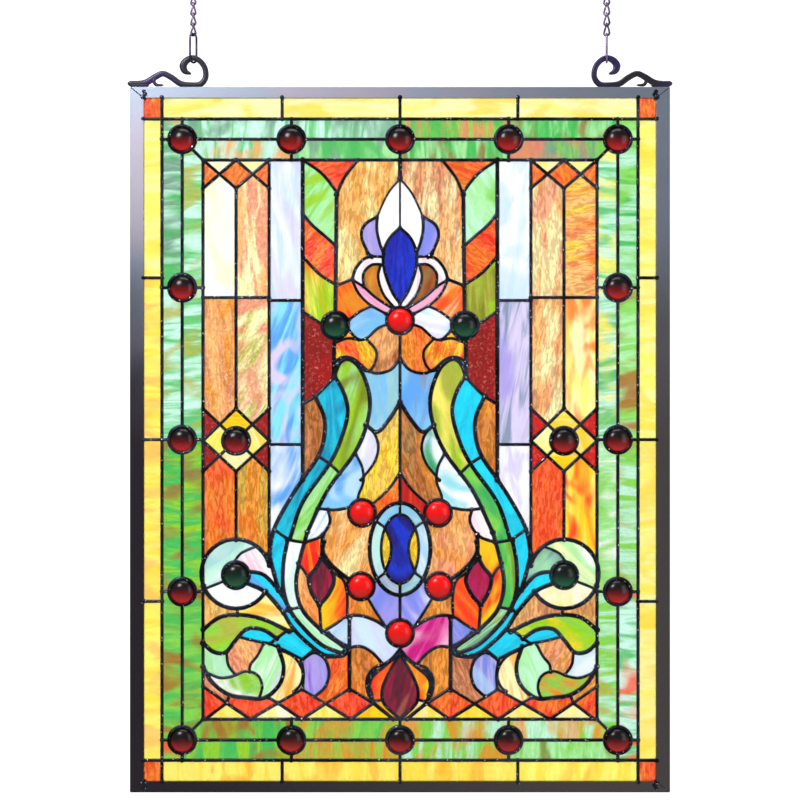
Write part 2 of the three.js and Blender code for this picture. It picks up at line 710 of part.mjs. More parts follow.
function bodyGeometry(body) {
  const positions = Float32Array.from(body.flat(2));
  const geometry = new THREE.BufferGeometry();
  geometry.setAttribute("position", new THREE.BufferAttribute(positions, 3));
  return mergeVertices(geometry, 1e-5);
}

const PALE_YELLOW = 0xf2d98a;

// A point inside each field, and its glass colour
function fieldSeeds() {
  const yellow = (sightHalf + ringX) / 2;
  const greenX = (borderX + fieldHalf) / 2;
  const seeds = [
    ["yellow_border_top", [TOP_BAR_PITCH / 2, (ringTop + sightTop) / 2], PALE_YELLOW],
    ["yellow_border_bottom", [TOP_BAR_PITCH / 2, (ringBottom + sightBottom) / 2], PALE_YELLOW],
    ["green_border_top", [TOP_JEWEL_PITCH / 2, (borderTop + fieldTop) / 2], 0x9fd8a4],
    ["green_border_bottom", [TOP_JEWEL_PITCH / 2, (borderBottom + fieldBottom) / 2], 0x86c46a],
    ["fleur_de_lis", placed([4, 510]), 0xeee4ee],
    ["heart_field", placed([-50, 215]), 0xe8bd84],
    ["scroll_base", placed([-60, 84.5]), 0xe67420],
  ];
  const pairs = [
    ["yellow_border", [-yellow, midHeight + SIDE_BAR_PITCH / 2], PALE_YELLOW],
    ["green_border", [-greenX, midHeight + SIDE_JEWEL_PITCH / 2], 0x8fd6a0],
    ["pillar", placed([-128, 480]), 0xf0dcc8],
    ["blue_column", placed([-100, 380]), 0x78b8e8],
    ["leaf_column", placed([-70, 510]), 0x9ed860],
    ["arch_ground", placed([-44, 500]), 0xe6c98c],
    ["lyre", placed([-40, 320]), 0x20b8e0],
  ];
  for (const [name, [x, z], color] of pairs) {
    seeds.push([`${name}_left`, [x, z], color]);
    seeds.push([`${name}_right`, [-x, z], color]);
  }
  return seeds;
}

// Zinc channel: each bar is a mitred length with a slot for the glass
function channel(outline, slot) {
  const body = plate(outline, frameHalfDepth, -frameHalfDepth);
  const groove = plate(slot, glassBack + SLOT_PLAY, glassFront - SLOT_PLAY);
  return body.subtract(groove);
}

function frameBars() {
  const half = FRAME_WIDTH / 2;
  const reach = half - MITRE_GAP;
  const inner = sightHalf - MITRE_GAP;
  const bottom = [[-reach, 0], [reach, 0], [inner, END_FACE], [-inner, END_FACE]];
  const sides = [[-half, 0], [-sightHalf, END_FACE], [-sightHalf, sightTop], [-half, FRAME_HEIGHT]];
  const endSlot = rectangle(-FRAME_WIDTH, FRAME_WIDTH, CHANNEL_WEB, END_FACE * 2);
  const sideSlot = rectangle(-half + CHANNEL_WEB, 0, -FRAME_HEIGHT, FRAME_HEIGHT * 2);
  const flip = (points) => points.map(([x, z]) => [x, FRAME_HEIGHT - z]).reverse();
  const across = (points) => mirrored(points).reverse();
  return [
    ["frame_bottom", channel(bottom, endSlot)],
    ["frame_top", channel(flip(bottom), flip(endSlot))],
    ["frame_left", channel(sides, sideSlot)],
    ["frame_right", channel(across(sides), across(sideSlot))],
  ];
}

// Scroll hook: a bent bar that lies along the frame, waves up and rolls over into a hook.
// The side is 1 where it runs to the right from its corner and -1 where it runs to the left.
function scrollHook(side) {
  const [crownX, crownZ] = HOOK_CROWN;
  const base = HOOK_BAR / 2;
  const wave = [
    [-2.3, 3.4], [7, base + 1], [14, 4.2], [21.6, 8.9], [28.2, 11.8], [35.5, 8.6], [43.5, base + 0.9],
    [52, base - 0.1], [60.5, base + 0.4], [65, 8], [64.6, 16.5], [60, 23], [crownX, crownZ],
    [48.6, 23.2], [46.2, 18.6], [47.6, 14], [52.6, 11.6],
  ];
  const curl = [[22.5, 9.4], [20.4, 5.8], [22.2, 2], [28.6, 1.3]];
  const foot = [[0, 1.4], [16, 1.4]];
  const back = HOOK_THICKNESS / 2;
  const bar = (line, width) => {
    const turned = side > 0 ? line : mirrored(line);
    return plate(strip(simplified(smooth(turned), HOOK_STEP), width), back, -back);
  };
  const bars = [bar(wave, HOOK_BAR), bar(curl, HOOK_CURL), bar(foot, HOOK_FOOT)];
  const below = plate(rectangle(-crownX * 2, crownX * 2, -crownZ, 0), back * 2, -back * 2);
  return joined(bars).subtract(below);
}

// A closed link of round wire, long way up, centred on the origin in the X-Z plane
function linkGeometry(length, width, wire, sides, bends) {
  const radius = (width - wire) / 2;
  const straight = (length - width) / 2;
  const points = [];
  for (const [offset, start] of [[straight, 0], [-straight, 180]]) {
    for (let i = 0; i <= bends; i += 1) {
      const angle = THREE.MathUtils.degToRad(start + (180 * i) / bends);
      points.push([radius * Math.cos(angle), offset + radius * Math.sin(angle)]);
    }
  }
  const open = straight > 0 ? points : points.filter((_, i) => i !== bends && i !== 2 * bends + 1);
  return loopOfWire(open, wire, sides);
}

function loopOfWire(points, wire, sides) {
  const count = points.length;
  const positions = [];
  const index = [];
  points.forEach((point, i) => {
    const before = direction(points[(i + count - 1) % count], point);
    const after = direction(point, points[(i + 1) % count]);
    const bend = [before[0] + after[0], before[1] + after[1]];
    const size = Math.hypot(bend[0], bend[1]);
    const [nx, nz] = [bend[1] / size, -bend[0] / size];
    for (let k = 0; k < sides; k += 1) {
      const angle = ((k + 0.5) / sides) * 2 * Math.PI;
      const out = (wire / 2) * Math.cos(angle) / (size / 2);
      positions.push(point[0] + nx * out, (wire / 2) * Math.sin(angle), point[1] + nz * out);
    }
  });
  for (let i = 0; i < count; i += 1) {
    for (let k = 0; k < sides; k += 1) {
      const a = i * sides + k;
      const b = i * sides + ((k + 1) % sides);
      const c = ((i + 1) % count) * sides + k;
      const d = ((i + 1) % count) * sides + ((k + 1) % sides);
      index.push(a, b, d, a, d, c);
    }
  }
  const geometry = new THREE.BufferGeometry();
  geometry.setAttribute("position", new THREE.BufferAttribute(new Float32Array(positions), 3));
  geometry.setIndex(index);
  return geometry;
}

const hookInnerTop = FRAME_HEIGHT + HOOK_CROWN[1] - HOOK_BAR / 2;
const loopBottom = hookInnerTop - HOOK_PLAY - WIRE;
const loopTop = loopBottom + LOOP_LENGTH;
const linkPitch = LINK_LENGTH - 2 * WIRE + LINK_GRIP;
const firstLink = loopTop - WIRE - (WIRE - LINK_GRIP) + LINK_LENGTH / 2;
const lastLinkTop = firstLink + (LINK_COUNT - 1) * linkPitch + LINK_LENGTH / 2;
const ringCentre = lastLinkTop - WIRE - RING_WIRE + LINK_GRIP + RING_RADIUS;
const bearing = ringCentre + RING_RADIUS - RING_WIRE;

function chain(loopTurn) {
  const turned = (geometry, degrees, z) => {
    geometry.rotateZ(THREE.MathUtils.degToRad(degrees));
    geometry.translate(0, 0, z);
    return solidOf(geometry);
  };
  const loop = linkGeometry(LOOP_LENGTH, LOOP_WIDTH, WIRE, 4, 4);
  const links = [turned(loop, 90 - loopTurn, loopBottom + LOOP_LENGTH / 2)];
  for (let i = 0; i < LINK_COUNT; i += 1) {
    const link = linkGeometry(LINK_LENGTH, LINK_WIDTH, WIRE, 4, 3);
    const angle = 90 - loopTurn + 90 + (i % 2 === 0 ? 0 : 90);
    links.push(turned(link, angle, firstLink + i * linkPitch));
  }
  const ring = linkGeometry(2 * RING_RADIUS, 2 * RING_RADIUS, RING_WIRE, 4, 6);
  const last = 90 - loopTurn + 90 + (LINK_COUNT % 2 === 0 ? 0 : 90);
  links.push(turned(ring, last, ringCentre));
  return joined(links);
}

// A pressed glass round, widest just behind the solder ring that holds it
function jewelGeometry() {
  const through = JEWEL_RADIUS - JEWEL_RING / 4 - JEWEL_PLAY;
  const shoulder = [JEWEL_SHOULDER[0] * through, JEWEL_SHOULDER[1] * JEWEL_RISE - glassFront];
  const profile = [
    [0, -glassBack], [JEWEL_RADIUS, -glassBack], [through, -glassFront],
    shoulder, [0, JEWEL_RISE - glassFront],
  ];
  const points = profile.map(([r, y]) => new THREE.Vector2(r, y));
  const geometry = new THREE.LatheGeometry(points, JEWEL_SIDES, Math.PI / JEWEL_SIDES, 2 * Math.PI);
  geometry.rotateX(Math.PI);
  return geometry;
}

const ZINC = 0x8d949b;
const SOLDER = 0x1c1c20;
const ENAMEL = 0x1b1220;
const STEEL = 0x2a2430;

const group = new THREE.Group();
group.position.z = -bearing;

function addPiece(name, geometry, color, roughness, metalness, x = 0, z = 0) {
  const material = new THREE.MeshStandardMaterial({ color, roughness, metalness });
  const mesh = new THREE.Mesh(geometry, material);
  mesh.name = name;
  mesh.position.set(x, 0, z);
  group.add(mesh);
}

for (const [name, solid] of frameBars()) {
  addPiece(name, geometryOf(solid), ZINC, 0.38, 1);
}

const solderFront = glassFront - SOLDER_RISE;
addPiece("solder_lattice_front", geometryOf(lattice(leads, glassFront, solderFront)), SOLDER, 0.35, 1);

const fields = bodiesOf(glassFields());
for (const [name, seed, color] of fieldSeeds()) {
  const body = fields.find((each) => covers(each, seed));
  addPiece(name, bodyGeometry(body), color, 0.12, 0);
}

for (const { name, at, color } of jewels) {
  addPiece(name, jewelGeometry(), color, 0.05, 0, at[0], at[1]);
}

const chainX = FRAME_WIDTH / 2 - HOOK_CROWN[0];
for (const [side, name, loopTurn] of [[-1, "left", LOOP_TURN_LEFT], [1, "right", LOOP_TURN_RIGHT]]) {
  const hook = geometryOf(scrollHook(-side));
  addPiece(`scroll_hook_${name}`, hook, ENAMEL, 0.25, 0.6, side * FRAME_WIDTH / 2, FRAME_HEIGHT);
  addPiece(`chain_${name}`, geometryOf(chain(loopTurn)), STEEL, 0.3, 0.9, side * chainX);
}

export default group;
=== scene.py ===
# Stained glass window panel. Cut tiles of coloured glass in soldered seams, glass jewels, a zinc
# frame, two enamelled scroll hooks and two chains. The drawing is in millimetres across (x) and
# up (z) from the middle of the frame's lower edge; the front looks towards -Y.
import math
import random

import bpy
import bmesh
from mathutils import Vector, Matrix, noise
from mathutils.bvhtree import BVHTree
from mathutils.geometry import delaunay_2d_cdt

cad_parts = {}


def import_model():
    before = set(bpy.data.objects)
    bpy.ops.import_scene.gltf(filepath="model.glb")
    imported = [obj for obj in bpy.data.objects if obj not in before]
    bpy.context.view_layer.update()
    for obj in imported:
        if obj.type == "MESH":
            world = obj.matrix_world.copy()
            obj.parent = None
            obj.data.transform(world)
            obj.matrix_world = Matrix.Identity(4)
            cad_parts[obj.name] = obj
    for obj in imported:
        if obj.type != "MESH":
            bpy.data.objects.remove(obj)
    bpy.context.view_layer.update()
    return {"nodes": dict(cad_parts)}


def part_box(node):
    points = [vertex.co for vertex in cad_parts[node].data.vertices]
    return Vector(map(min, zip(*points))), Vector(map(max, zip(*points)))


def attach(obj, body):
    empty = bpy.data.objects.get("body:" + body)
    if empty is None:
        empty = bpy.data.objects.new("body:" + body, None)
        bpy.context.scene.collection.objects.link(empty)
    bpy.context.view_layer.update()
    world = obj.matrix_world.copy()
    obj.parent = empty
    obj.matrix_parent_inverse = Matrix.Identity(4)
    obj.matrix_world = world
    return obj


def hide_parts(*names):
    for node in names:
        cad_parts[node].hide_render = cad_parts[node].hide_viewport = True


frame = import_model()

MM = 0.001
random.seed(4)

# Sizes of the drawing, in millimetres
FRAME_WIDTH, FRAME_HEIGHT = 467.0, 610.0
SIGHT_X, SIGHT_LOW, SIGHT_HIGH = 221.5, 9.5, 600.5
RING_X, RING_LOW, RING_HIGH = 206.0, 27.5, 582.5
BORDER_X, BORDER_LOW, BORDER_HIGH = 188.5, 45.0, 565.0
FIELD_X, FIELD_LOW, FIELD_HIGH = 170.5, 63.0, 547.0
DRAWN_HALF, DRAWN_LOW, DRAWN_HIGH = 171.0, 63.0, 547.0
MIDDLE = FRAME_HEIGHT / 2
TOP_JEWELS, SIDE_JEWELS = 94.0, 131.5
TOP_BARS, SIDE_BARS = 102.0, 140.0
GLASS = 1.5  # half its thickness
BITE = 5.0  # how far the sheet goes into the channel
THIN, WIDTH, BOLD = 1.8, 2.8, 3.6
FINE = 0.9
JEWEL, JEWEL_RISE = 11.0, 5.4
SEAM_RISE, SEAM_FOOT = 1.25, 0.3

BEARING = FRAME_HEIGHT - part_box("frame_top")[1].z / MM


def world(x, y, z):
    return Vector((x * MM, y * MM, (z - BEARING) * MM))


# Curves
def smooth(points, samples=8):
    """A centripetal Catmull-Rom curve through the points."""
    if len(points) < 3:
        return [Vector(p) for p in points]
    pts = [Vector(p) for p in points]
    pts = [pts[0] * 2 - pts[1]] + pts + [pts[-1] * 2 - pts[-2]]
    out = []
    for i in range(1, len(pts) - 2):
        p0, p1, p2, p3 = pts[i - 1:i + 3]
        t0 = 0.0
        t1 = t0 + math.sqrt(max((p1 - p0).length, 1e-6))
        t2 = t1 + math.sqrt(max((p2 - p1).length, 1e-6))
        t3 = t2 + math.sqrt(max((p3 - p2).length, 1e-6))
        for k in range(samples):
            t = t1 + (t2 - t1) * k / samples
            a1 = p0 * ((t1 - t) / (t1 - t0)) + p1 * ((t - t0) / (t1 - t0))
            a2 = p1 * ((t2 - t) / (t2 - t1)) + p2 * ((t - t1) / (t2 - t1))
            a3 = p2 * ((t3 - t) / (t3 - t2)) + p3 * ((t - t2) / (t3 - t2))
            b1 = a1 * ((t2 - t) / (t2 - t0)) + a2 * ((t - t0) / (t2 - t0))
            b2 = a2 * ((t3 - t) / (t3 - t1)) + a3 * ((t - t1) / (t3 - t1))
            out.append(b1 * ((t2 - t) / (t2 - t1)) + b2 * ((t - t1) / (t2 - t1)))
    out.append(pts[-2])
    return out


def arc(centre, rx, rz, start, end, steps=18):
    turns = [math.radians(start + (end - start) * i / steps) for i in range(steps + 1)]
    return [[centre[0] + rx * math.cos(a), centre[1] + rz * math.sin(a)] for a in turns]


def circle(centre, radius, sides):
    turns = [2 * math.pi * i / sides for i in range(sides)]
    return [centre + Vector((math.cos(a), math.sin(a))) * radius for a in turns]


def lead(points, width=WIDTH):
    return {"points": [Vector(p) for p in points], "width": width}


def bent(points, width=WIDTH):
    return lead(smooth(points), width)


def fine(slight):
    return {**slight, "width": slight["width"] * FINE}


# The leads of the left half of the drawing; the right half mirrors them
def pillar_leads():
    outer, middle, inner = [-171, -142.3, -113.6]
    top, cross = [547, 522.5]
    return [
        lead([[outer, top], [middle, cross]]),
        lead([[middle, top], [outer, cross]]),
        lead([[middle, top], [inner, cross]]),
        lead([[inner, top], [middle, cross]]),
        lead([[middle, cross], [middle, 332]]),
        lead([[outer, 428], [inner, 428]]),
        lead([[outer, 304], [middle, 332], [inner, 304]]),
        lead([[outer, 304], [middle, 277.5], [inner, 304]]),
        lead([[outer, 332], [inner, 277.5]]),
        lead([[inner, 332], [outer, 277.5]]),
        lead([[middle, 277.5], [middle, 218]]),
        lead([[inner, top], [inner, 196]]),
    ]


def column_leads():
    return [
        lead([[-113.6, 425.5], [-84.5, 425.5]]),
        lead([[-113.6, 300.8], [-84.5, 300.8]]),
        lead([[-84.5, 547], [-84.5, 270]], BOLD),
        bent([[-84.5, 547], [-69.3, 536.6], [-61, 527.5], [-55, 519]]),
        bent([[-36.6, 547], [-48.2, 532], [-55, 517]]),
        lead([[-55, 517], [-56.2, 404]], BOLD),
        bent([[-84.5, 501], [-77, 491.5], [-65, 481], [-55, 472]]),
        bent([[-84.5, 463.5], [-70, 448.3], [-55, 438.5]]),
        lead([[-84.5, 416], [-56.2, 397]]),
        bent([[-56.2, 404], [-57.2, 380], [-57.6, 358.5]], BOLD),
        bent([[-57.6, 358.5], [-72.8, 343], [-84.5, 335.5]]),
    ]


def lily_leads():
    return [
        lead([[0, 547], [0, 531]], BOLD),
        lead([[0, 531], [0, 488.5]], THIN),
        bent([[0, 531], [-9.8, 519], [-17.5, 503.5], [-19.9, 497]], THIN),
        bent([[-19.9, 497], [-20, 486], [-17.3, 474], [-14.2, 466]]),
        bent([[0, 488.5], [-9, 479.7], [-14.3, 467], [-13.8, 453], [-6.4, 432], [0, 422.8]]),
        bent([[-19.9, 498], [-30.6, 491], [-33.6, 482], [-27.8, 466]]),
        fine(lead([[-14.5, 463.3], [-25, 463.6]])),
        bent([[-24.4, 463.6], [-31, 461.6], [-38.2, 453.4], [-41.6, 443.6]]),
        lead([[-28, 467], [-24.4, 463]]),
        fine(bent([[-15, 456.6], [-24.5, 456.3], [-31.6, 449], [-31.6, 437.4]])),
        fine(bent([[-16.9, 456], [-19, 446], [-14.5, 431], [-5.1, 419.4]])),
        fine(bent([[-41.6, 443.6], [-31.6, 437.2], [-21.2, 428], [-6.2, 418.4]])),
        fine(bent([[-41.6, 443.6], [-36.5, 432.5], [-27.5, 422.8], [-12.4, 414]])),
        lead([[-55, 438.5], [-41.3, 443.8]]),
        fine(bent([[-24.6, 420.6], [-34.5, 416], [-44, 409]])),
        fine(bent([[-9, 405.5], [-19, 401.6], [-29.4, 392.4], [-35.6, 391.6], [-44, 399]])),
        fine(bent([[-29.4, 392.4], [-20.6, 381.5], [-21.5, 372], [-26, 364.5]])),
        fine(bent([[-57, 388.6], [-45.4, 392.6], [-35.6, 391.4]])),
        bent([[-57.3, 372], [-50, 376.2], [-41, 375.2], [-29, 365]]),
        bent([[-30.5, 365.5], [-21, 362.4], [-8, 365.6], [0, 375.5]]),
        lead([[0, 408], [0, 250.3]]),
    ]


# The lyre: three long lines that run from the lily down into the scrolls
def lyre_leads():
    inner = [
        [-57.6, 358.5], [-52.5, 371], [-46.4, 374.8], [-37.5, 370], [-29.4, 354.6], [-26, 336],
        [-30.4, 313], [-39.5, 293.3], [-62.9, 261.2], [-80.5, 224.8],
    ]
    inner_low = [
        [-80.5, 224.8], [-87.2, 200], [-90.2, 180], [-85.7, 159.5], [-71.1, 142.5], [-47, 124.4],
    ]
    middle = [
        [-57, 360.5], [-49.4, 346.8], [-45.3, 330], [-51.6, 304], [-61, 284.4], [-84.9, 250],
        [-95.6, 219],
    ]
    middle_low = [
        [-97.6, 218], [-101.2, 198], [-101, 174.5], [-95.5, 157.5], [-84.2, 142.5], [-67, 126.8],
        [-50.5, 120],
    ]
    outer_high = [[-73.5, 342.5], [-65.8, 324], [-65.7, 307], [-71, 290.6], [-84.5, 270.6]]
    outer = [[-84.5, 270.6], [-95.6, 253.6], [-109.4, 227.4], [-113.6, 206]]
    outer_low = [[-113.6, 206], [-110, 191], [-105.2, 174.6]]
    return [
        bent(inner, BOLD),
        bent(inner_low, BOLD),
        bent(middle, BOLD),
        bent(middle_low, BOLD),
        bent(outer_high, BOLD),
        bent(outer, BOLD),
        bent(outer_low, BOLD),
        bent([[-70.6, 290.3], [-61, 284], [-52, 275.6]]),
        bent([[-109.4, 227.4], [-102, 222], [-95.6, 218.3], [-82.5, 216]]),
        fine(lead([[-98.5, 157.5], [-85.7, 160.2]])),
    ]


def heart_leads():
    centre, outer_x, outer_z, inner_x, inner_z = [[0, 210.3], 26.4, 40, 16.4, 30]
    return [
        bent([[-29.4, 317.6], [-20, 311.5], [-10, 321.7], [0, 337.5]], BOLD),
        fine(bent([[-28.3, 316.5], [-21.8, 309.5], [-18.8, 298], [-22.2, 285.5], [-34, 270]])),
        fine(bent([[-38.3, 292.2], [-33, 281.5], [-31.7, 269], [-36.5, 254], [-33, 241]])),
        bent([[-43, 246.5], [-56, 244.2], [-71.5, 245.4]]),
        bent([[-62.5, 244.6], [-60.7, 234], [-68.5, 221.6], [-82.5, 216]]),
        fine(bent([[0, 276.5], [-9.5, 262.6], [-24.3, 248.6]])),
        bent([[-67, 222.6], [-67, 208], [-57.6, 194.6], [-40, 181]], BOLD),
        lead(arc(centre, outer_x, outer_z, 90, 270), BOLD),
        fine(lead(arc(centre, inner_x, inner_z, 90, 270))),
        fine(lead([[0, 250.3], [0, 240.3]])),
        lead([[0, 180.3], [0, 137.5]]),
        fine(lead([[-21.5, 235], [-13, 228.7]])),
        fine(lead([[-20.5, 184], [-12.6, 190]])),
        fine(bent([[-13, 228.7], [-8, 216], [-8.2, 204], [-12.9, 190.6]])),
    ]


def flame_leads():
    outer_leaf = [
        [-66.4, 216.5], [-68.4, 203], [-72.5, 194.4], [-79.2, 185.6], [-76.6, 172.5], [-70, 161.6],
    ]
    return [
        bent(outer_leaf, BOLD),
        bent([[-68.4, 203], [-59.6, 191.5], [-57.2, 183], [-62.4, 170.5], [-70, 161.6]], BOLD),
        fine(bent([[-88.7, 198], [-83.6, 192], [-79.2, 184.5]])),
        lead([[-70, 163], [-68.5, 140]]),
        fine(bent([[-57.2, 189.2], [-49.6, 184], [-46, 172], [-46, 151.6]])),
        bent([[-67.6, 138.6], [-56, 145.4], [-46.6, 151.6], [-36, 152.8], [-23, 149], [-9, 140.5]]),
        fine(bent([[-34, 178], [-21, 156], [-12.4, 143]])),
        fine(bent([[-24.5, 174], [-22.6, 180], [-20, 184]])),
        lead([[-43.9, 151], [-43.9, 88.5]], BOLD),
        fine(bent([[-62, 137.6], [-53, 130.4], [-44.5, 126]])),
        bent([[-47, 124.4], [-34, 126], [-24, 120.6], [-14.4, 110.2]]),
        bent([[-14.4, 110.2], [-7, 115.6], [0, 124]]),
        lead([[-50.5, 120], [-47, 124.4]]),
        lead([[0, 137.5], [0, 120]]),
    ]


def base_leads():
    bottom = 63
    return [
        bent([[0, 120], [-14, 108.5], [-25, 98], [-26.2, 88], [-22.6, 77.6]]),
        bent([[0, 120], [-11, 100.5], [-15.6, 88], [-14.4, 77.4], [0, bottom]]),
        fine(lead([[-15.3, 80], [-22, 78.4]])),
        fine(lead([[-22.8, 77.4], [-6, 63.6]])),
        fine(bent([[-14.4, 110.2], [-22.4, 107.4], [-28.2, 100], [-28.8, 90], [-23.6, 77.6]])),
        fine(bent([[-44, 124.8], [-47.6, 118.6], [-56, 116.8], [-65.6, 116.6]])),
        bent([[-84.4, 114.8], [-74.7, 120.6], [-65.6, 115.4], [-61.6, 103], [-65, 91], [-73.4, 83]]),
        fine(bent([[-85.4, 114], [-83.6, 102], [-84.4, 89.4]])),
        lead([[-169, bottom], [-150.5, 77], [-130, bottom], [-106, 77], [-85.3, bottom], [-64.7, 76.5]]),
        lead([[-64.7, 76.5], [-43, bottom], [-23.3, 76.8], [-6, bottom]]),
        fine(lead([[-171, 91.5], [-150.5, 77]])),
        lead([[-150.5, 77], [-147.8, 84]]),
        fine(lead([[-114, 81.6], [-106, 77], [-85, 88.8], [-64.7, 76.5], [-43.9, 89.4], [-23.3, 76.8]])),
    ]


def scroll_leads():
    spiral = [-142.5, 188.8]
    band = [
        [-101, 155], [-93.5, 142.6], [-79, 128], [-65.5, 118.6], [-57, 117.2], [-50.5, 120],
    ]
    wave = [
        [-171, 129], [-162, 121.4], [-152, 120.6], [-143, 131], [-133, 141], [-119, 140.5], [-107, 133],
    ]
    roll = [
        [-171, 108.6], [-163, 95], [-149, 84.6], [-133, 81.6], [-118, 81.4], [-104.6, 93],
        [-101, 108], [-106, 126],
    ]
    inner_roll = [
        [-168, 103.4], [-156, 98.8], [-146, 100], [-133, 104.6], [-123, 100.6], [-119.6, 91], [-122, 82],
    ]
    return [
        lead(arc(spiral, 30, 30, 200, 14, 16), BOLD),
        lead(arc(spiral, 30, 30, 200, 329, 11), BOLD),
        fine(bent([[-144.4, 198.6], [-138, 206.6], [-124.9, 212.6]])),
        fine(lead([[-148, 184.5], [-168.4, 176.3]])),
        bent([[-134, 191], [-119, 188.4], [-105.2, 174.6]], BOLD),
        bent([[-105.2, 174.6], [-99.5, 165.5], [-95.9, 157.5]], BOLD),
        fine(lead([[-105.2, 175.6], [-101, 170.5]], BOLD)),
        bent([[-134, 181], [-118.5, 174], [-101, 155]], BOLD),
        lead([[-101.6, 155.4], [-94.8, 158.4]]),
        bent(band, BOLD),
        fine(lead([[-141, 159], [-141, 153]])),
        bent([[-171, 140.4], [-157, 151], [-139, 153.4], [-119, 149.6], [-96, 139]], BOLD),
        lead([[-97, 139.4], [-91.4, 139.8]]),
        bent(wave, BOLD),
        fine(bent([[-140, 134.4], [-126, 130.8], [-112, 128.4]])),
        lead([[-113, 128.4], [-98.5, 139.4]]),
        fine(bent([[-113, 128.4], [-100, 122.6], [-85, 115]])),
        fine(lead([[-84.8, 115], [-74.5, 123.5]])),
        bent(roll, BOLD),
        fine(bent([[-105, 123.8], [-91, 116], [-84.4, 103], [-87, 92], [-92, 87]])),
        fine(bent([[-150.6, 120.4], [-149, 110], [-143, 101.4]])),
        fine(bent(inner_roll)),
        fine(bent([[-118.6, 128], [-124, 117.6], [-130, 110], [-130.6, 104]])),
    ]


def border_leads():
    """Two rings of seams with the bars across them, and a stub at every jewel."""
    out, low, high = SIGHT_X + BITE, SIGHT_LOW - BITE, SIGHT_HIGH + BITE
    lines = [[[-out, z], [out, z]] for z in (RING_LOW, RING_HIGH)]
    lines += [[[-FIELD_X, z], [FIELD_X, z]] for z in (FIELD_LOW, FIELD_HIGH)]
    lines += [[[-BORDER_X, z], [BORDER_X, z]] for z in (BORDER_LOW, BORDER_HIGH)]
    for x in (-TOP_BARS, 0, TOP_BARS):
        lines += [[[x, RING_HIGH], [x, high]], [[x, low], [x, RING_LOW]]]
    for x in (-TOP_JEWELS, 0, TOP_JEWELS):
        lines += [[[x, FIELD_HIGH], [x, RING_HIGH]], [[x, RING_LOW], [x, FIELD_LOW]]]
    for s in (-1, 1):
        ring, border, field = s * RING_X, s * BORDER_X, s * FIELD_X
        lines.append([[ring, low], [ring, high]])
        lines.append([[field, FIELD_LOW], [field, FIELD_HIGH]])
        lines.append([[border, BORDER_LOW], [border, BORDER_HIGH]])
        lines += [[[ring, z], [s * out, z]] for z in (MIDDLE - SIDE_BARS, MIDDLE, MIDDLE + SIDE_BARS)]
        lines += [[[field, z], [ring, z]] for z in (MIDDLE - SIDE_JEWELS, MIDDLE, MIDDLE + SIDE_JEWELS)]
        for z, ring_z, field_z in ((BORDER_LOW, RING_LOW, FIELD_LOW), (BORDER_HIGH, RING_HIGH, FIELD_HIGH)):
            lines += [[[border, z], end] for end in ([field, field_z], [ring, z], [border, ring_z])]
    return [lead(points) for points in lines]


def placed(p):
    """A point of the drawing, stretched with it to fill the field inside the borders."""
    share = (p[1] - DRAWN_LOW) / (DRAWN_HIGH - DRAWN_LOW)
    return Vector((p[0] / DRAWN_HALF * FIELD_X, FIELD_LOW + share * (FIELD_HIGH - FIELD_LOW)))


def picture_leads():
    half = (pillar_leads() + column_leads() + lily_leads() + lyre_leads() + heart_leads()
            + flame_leads() + base_leads() + scroll_leads())
    whole = []
    for each in half:
        whole.append({**each, "points": [placed(p) for p in each["points"]]})
        if any(abs(p.x) > 1e-6 for p in each["points"]):
            whole.append({**each, "points": [placed((-p.x, p.y)) for p in each["points"]]})
    return whole


# Jewels: name, centre and glass
JEWELS = []
for row, z in (("top", BORDER_HIGH), ("bottom", BORDER_LOW)):
    for i, x in enumerate((-BORDER_X, -TOP_JEWELS, 0, TOP_JEWELS, BORDER_X)):
        JEWELS.append((f"jewel_{row}_{i + 1}", Vector((x, z)), "dark_red"))
for side, x in (("left", -BORDER_X), ("right", BORDER_X)):
    for i, z in enumerate((MIDDLE + SIDE_JEWELS, MIDDLE, MIDDLE - SIDE_JEWELS)):
        JEWELS.append((f"jewel_{side}_{i + 1}", Vector((x, z)), "dark_red"))
for name, x, z, glass in (("pillar", -142.3, 304, "dark_red"), ("leaf", -56.2, 404, "green"),
                          ("scroll", -142.5, 187.8, "green"), ("heart_upper", -33, 241.6, "bright_red"),
                          ("heart_lower", -34, 178, "bright_red")):
    JEWELS.append((f"jewel_{name}_left", placed((x, z)), glass))
    JEWELS.append((f"jewel_{name}_right", placed((-x, z)), glass))
JEWELS.append(("jewel_lily", placed((0, 408)), "bright_red"))
JEWELS.append(("jewel_flame", placed((0, 137.5)), "bright_red"))

LEADS = border_leads() + picture_leads()
END_REACH = 2.6
HOLE_PLAY, HOLE_SIDES = 0.3, 28
WELD = 0.02
SMALLEST_TILE = 9.0


# The sheet parted into tiles
def reached(points):
    """The line with both ends carried on a little, so that it meets the next seam."""
    first = (points[0] - points[1]).normalized() * END_REACH
    last = (points[-1] - points[-2]).normalized() * END_REACH
    return [points[0] + first] + list(points[1:-1]) + [points[-1] + last]


def cut_sheet():
    """The sheet cut into triangles along all the seams: its points, its triangles and its cuts."""
    verts, edges = [], []

    def add_line(points, closed=False):
        start, count = len(verts), len(points)
        verts.extend(Vector(p) for p in points)
        edges.extend((start + i, start + (i + 1) % count) for i in range(count if closed else count - 1))

    out, low, high = SIGHT_X + BITE, SIGHT_LOW - BITE, SIGHT_HIGH + BITE
    add_line([(-out, low), (out, low), (out, high), (-out, high)], closed=True)
    for each in LEADS:
        add_line(reached(each["points"]))
    for _, centre, _ in JEWELS:
        add_line(circle(centre, JEWEL + HOLE_PLAY, HOLE_SIDES), closed=True)
    points, lines, faces, _, from_edges, _ = delaunay_2d_cdt(verts, edges, [], 0, WELD)
    return points, faces, {frozenset(e) for e, origin in zip(lines, from_edges) if origin}


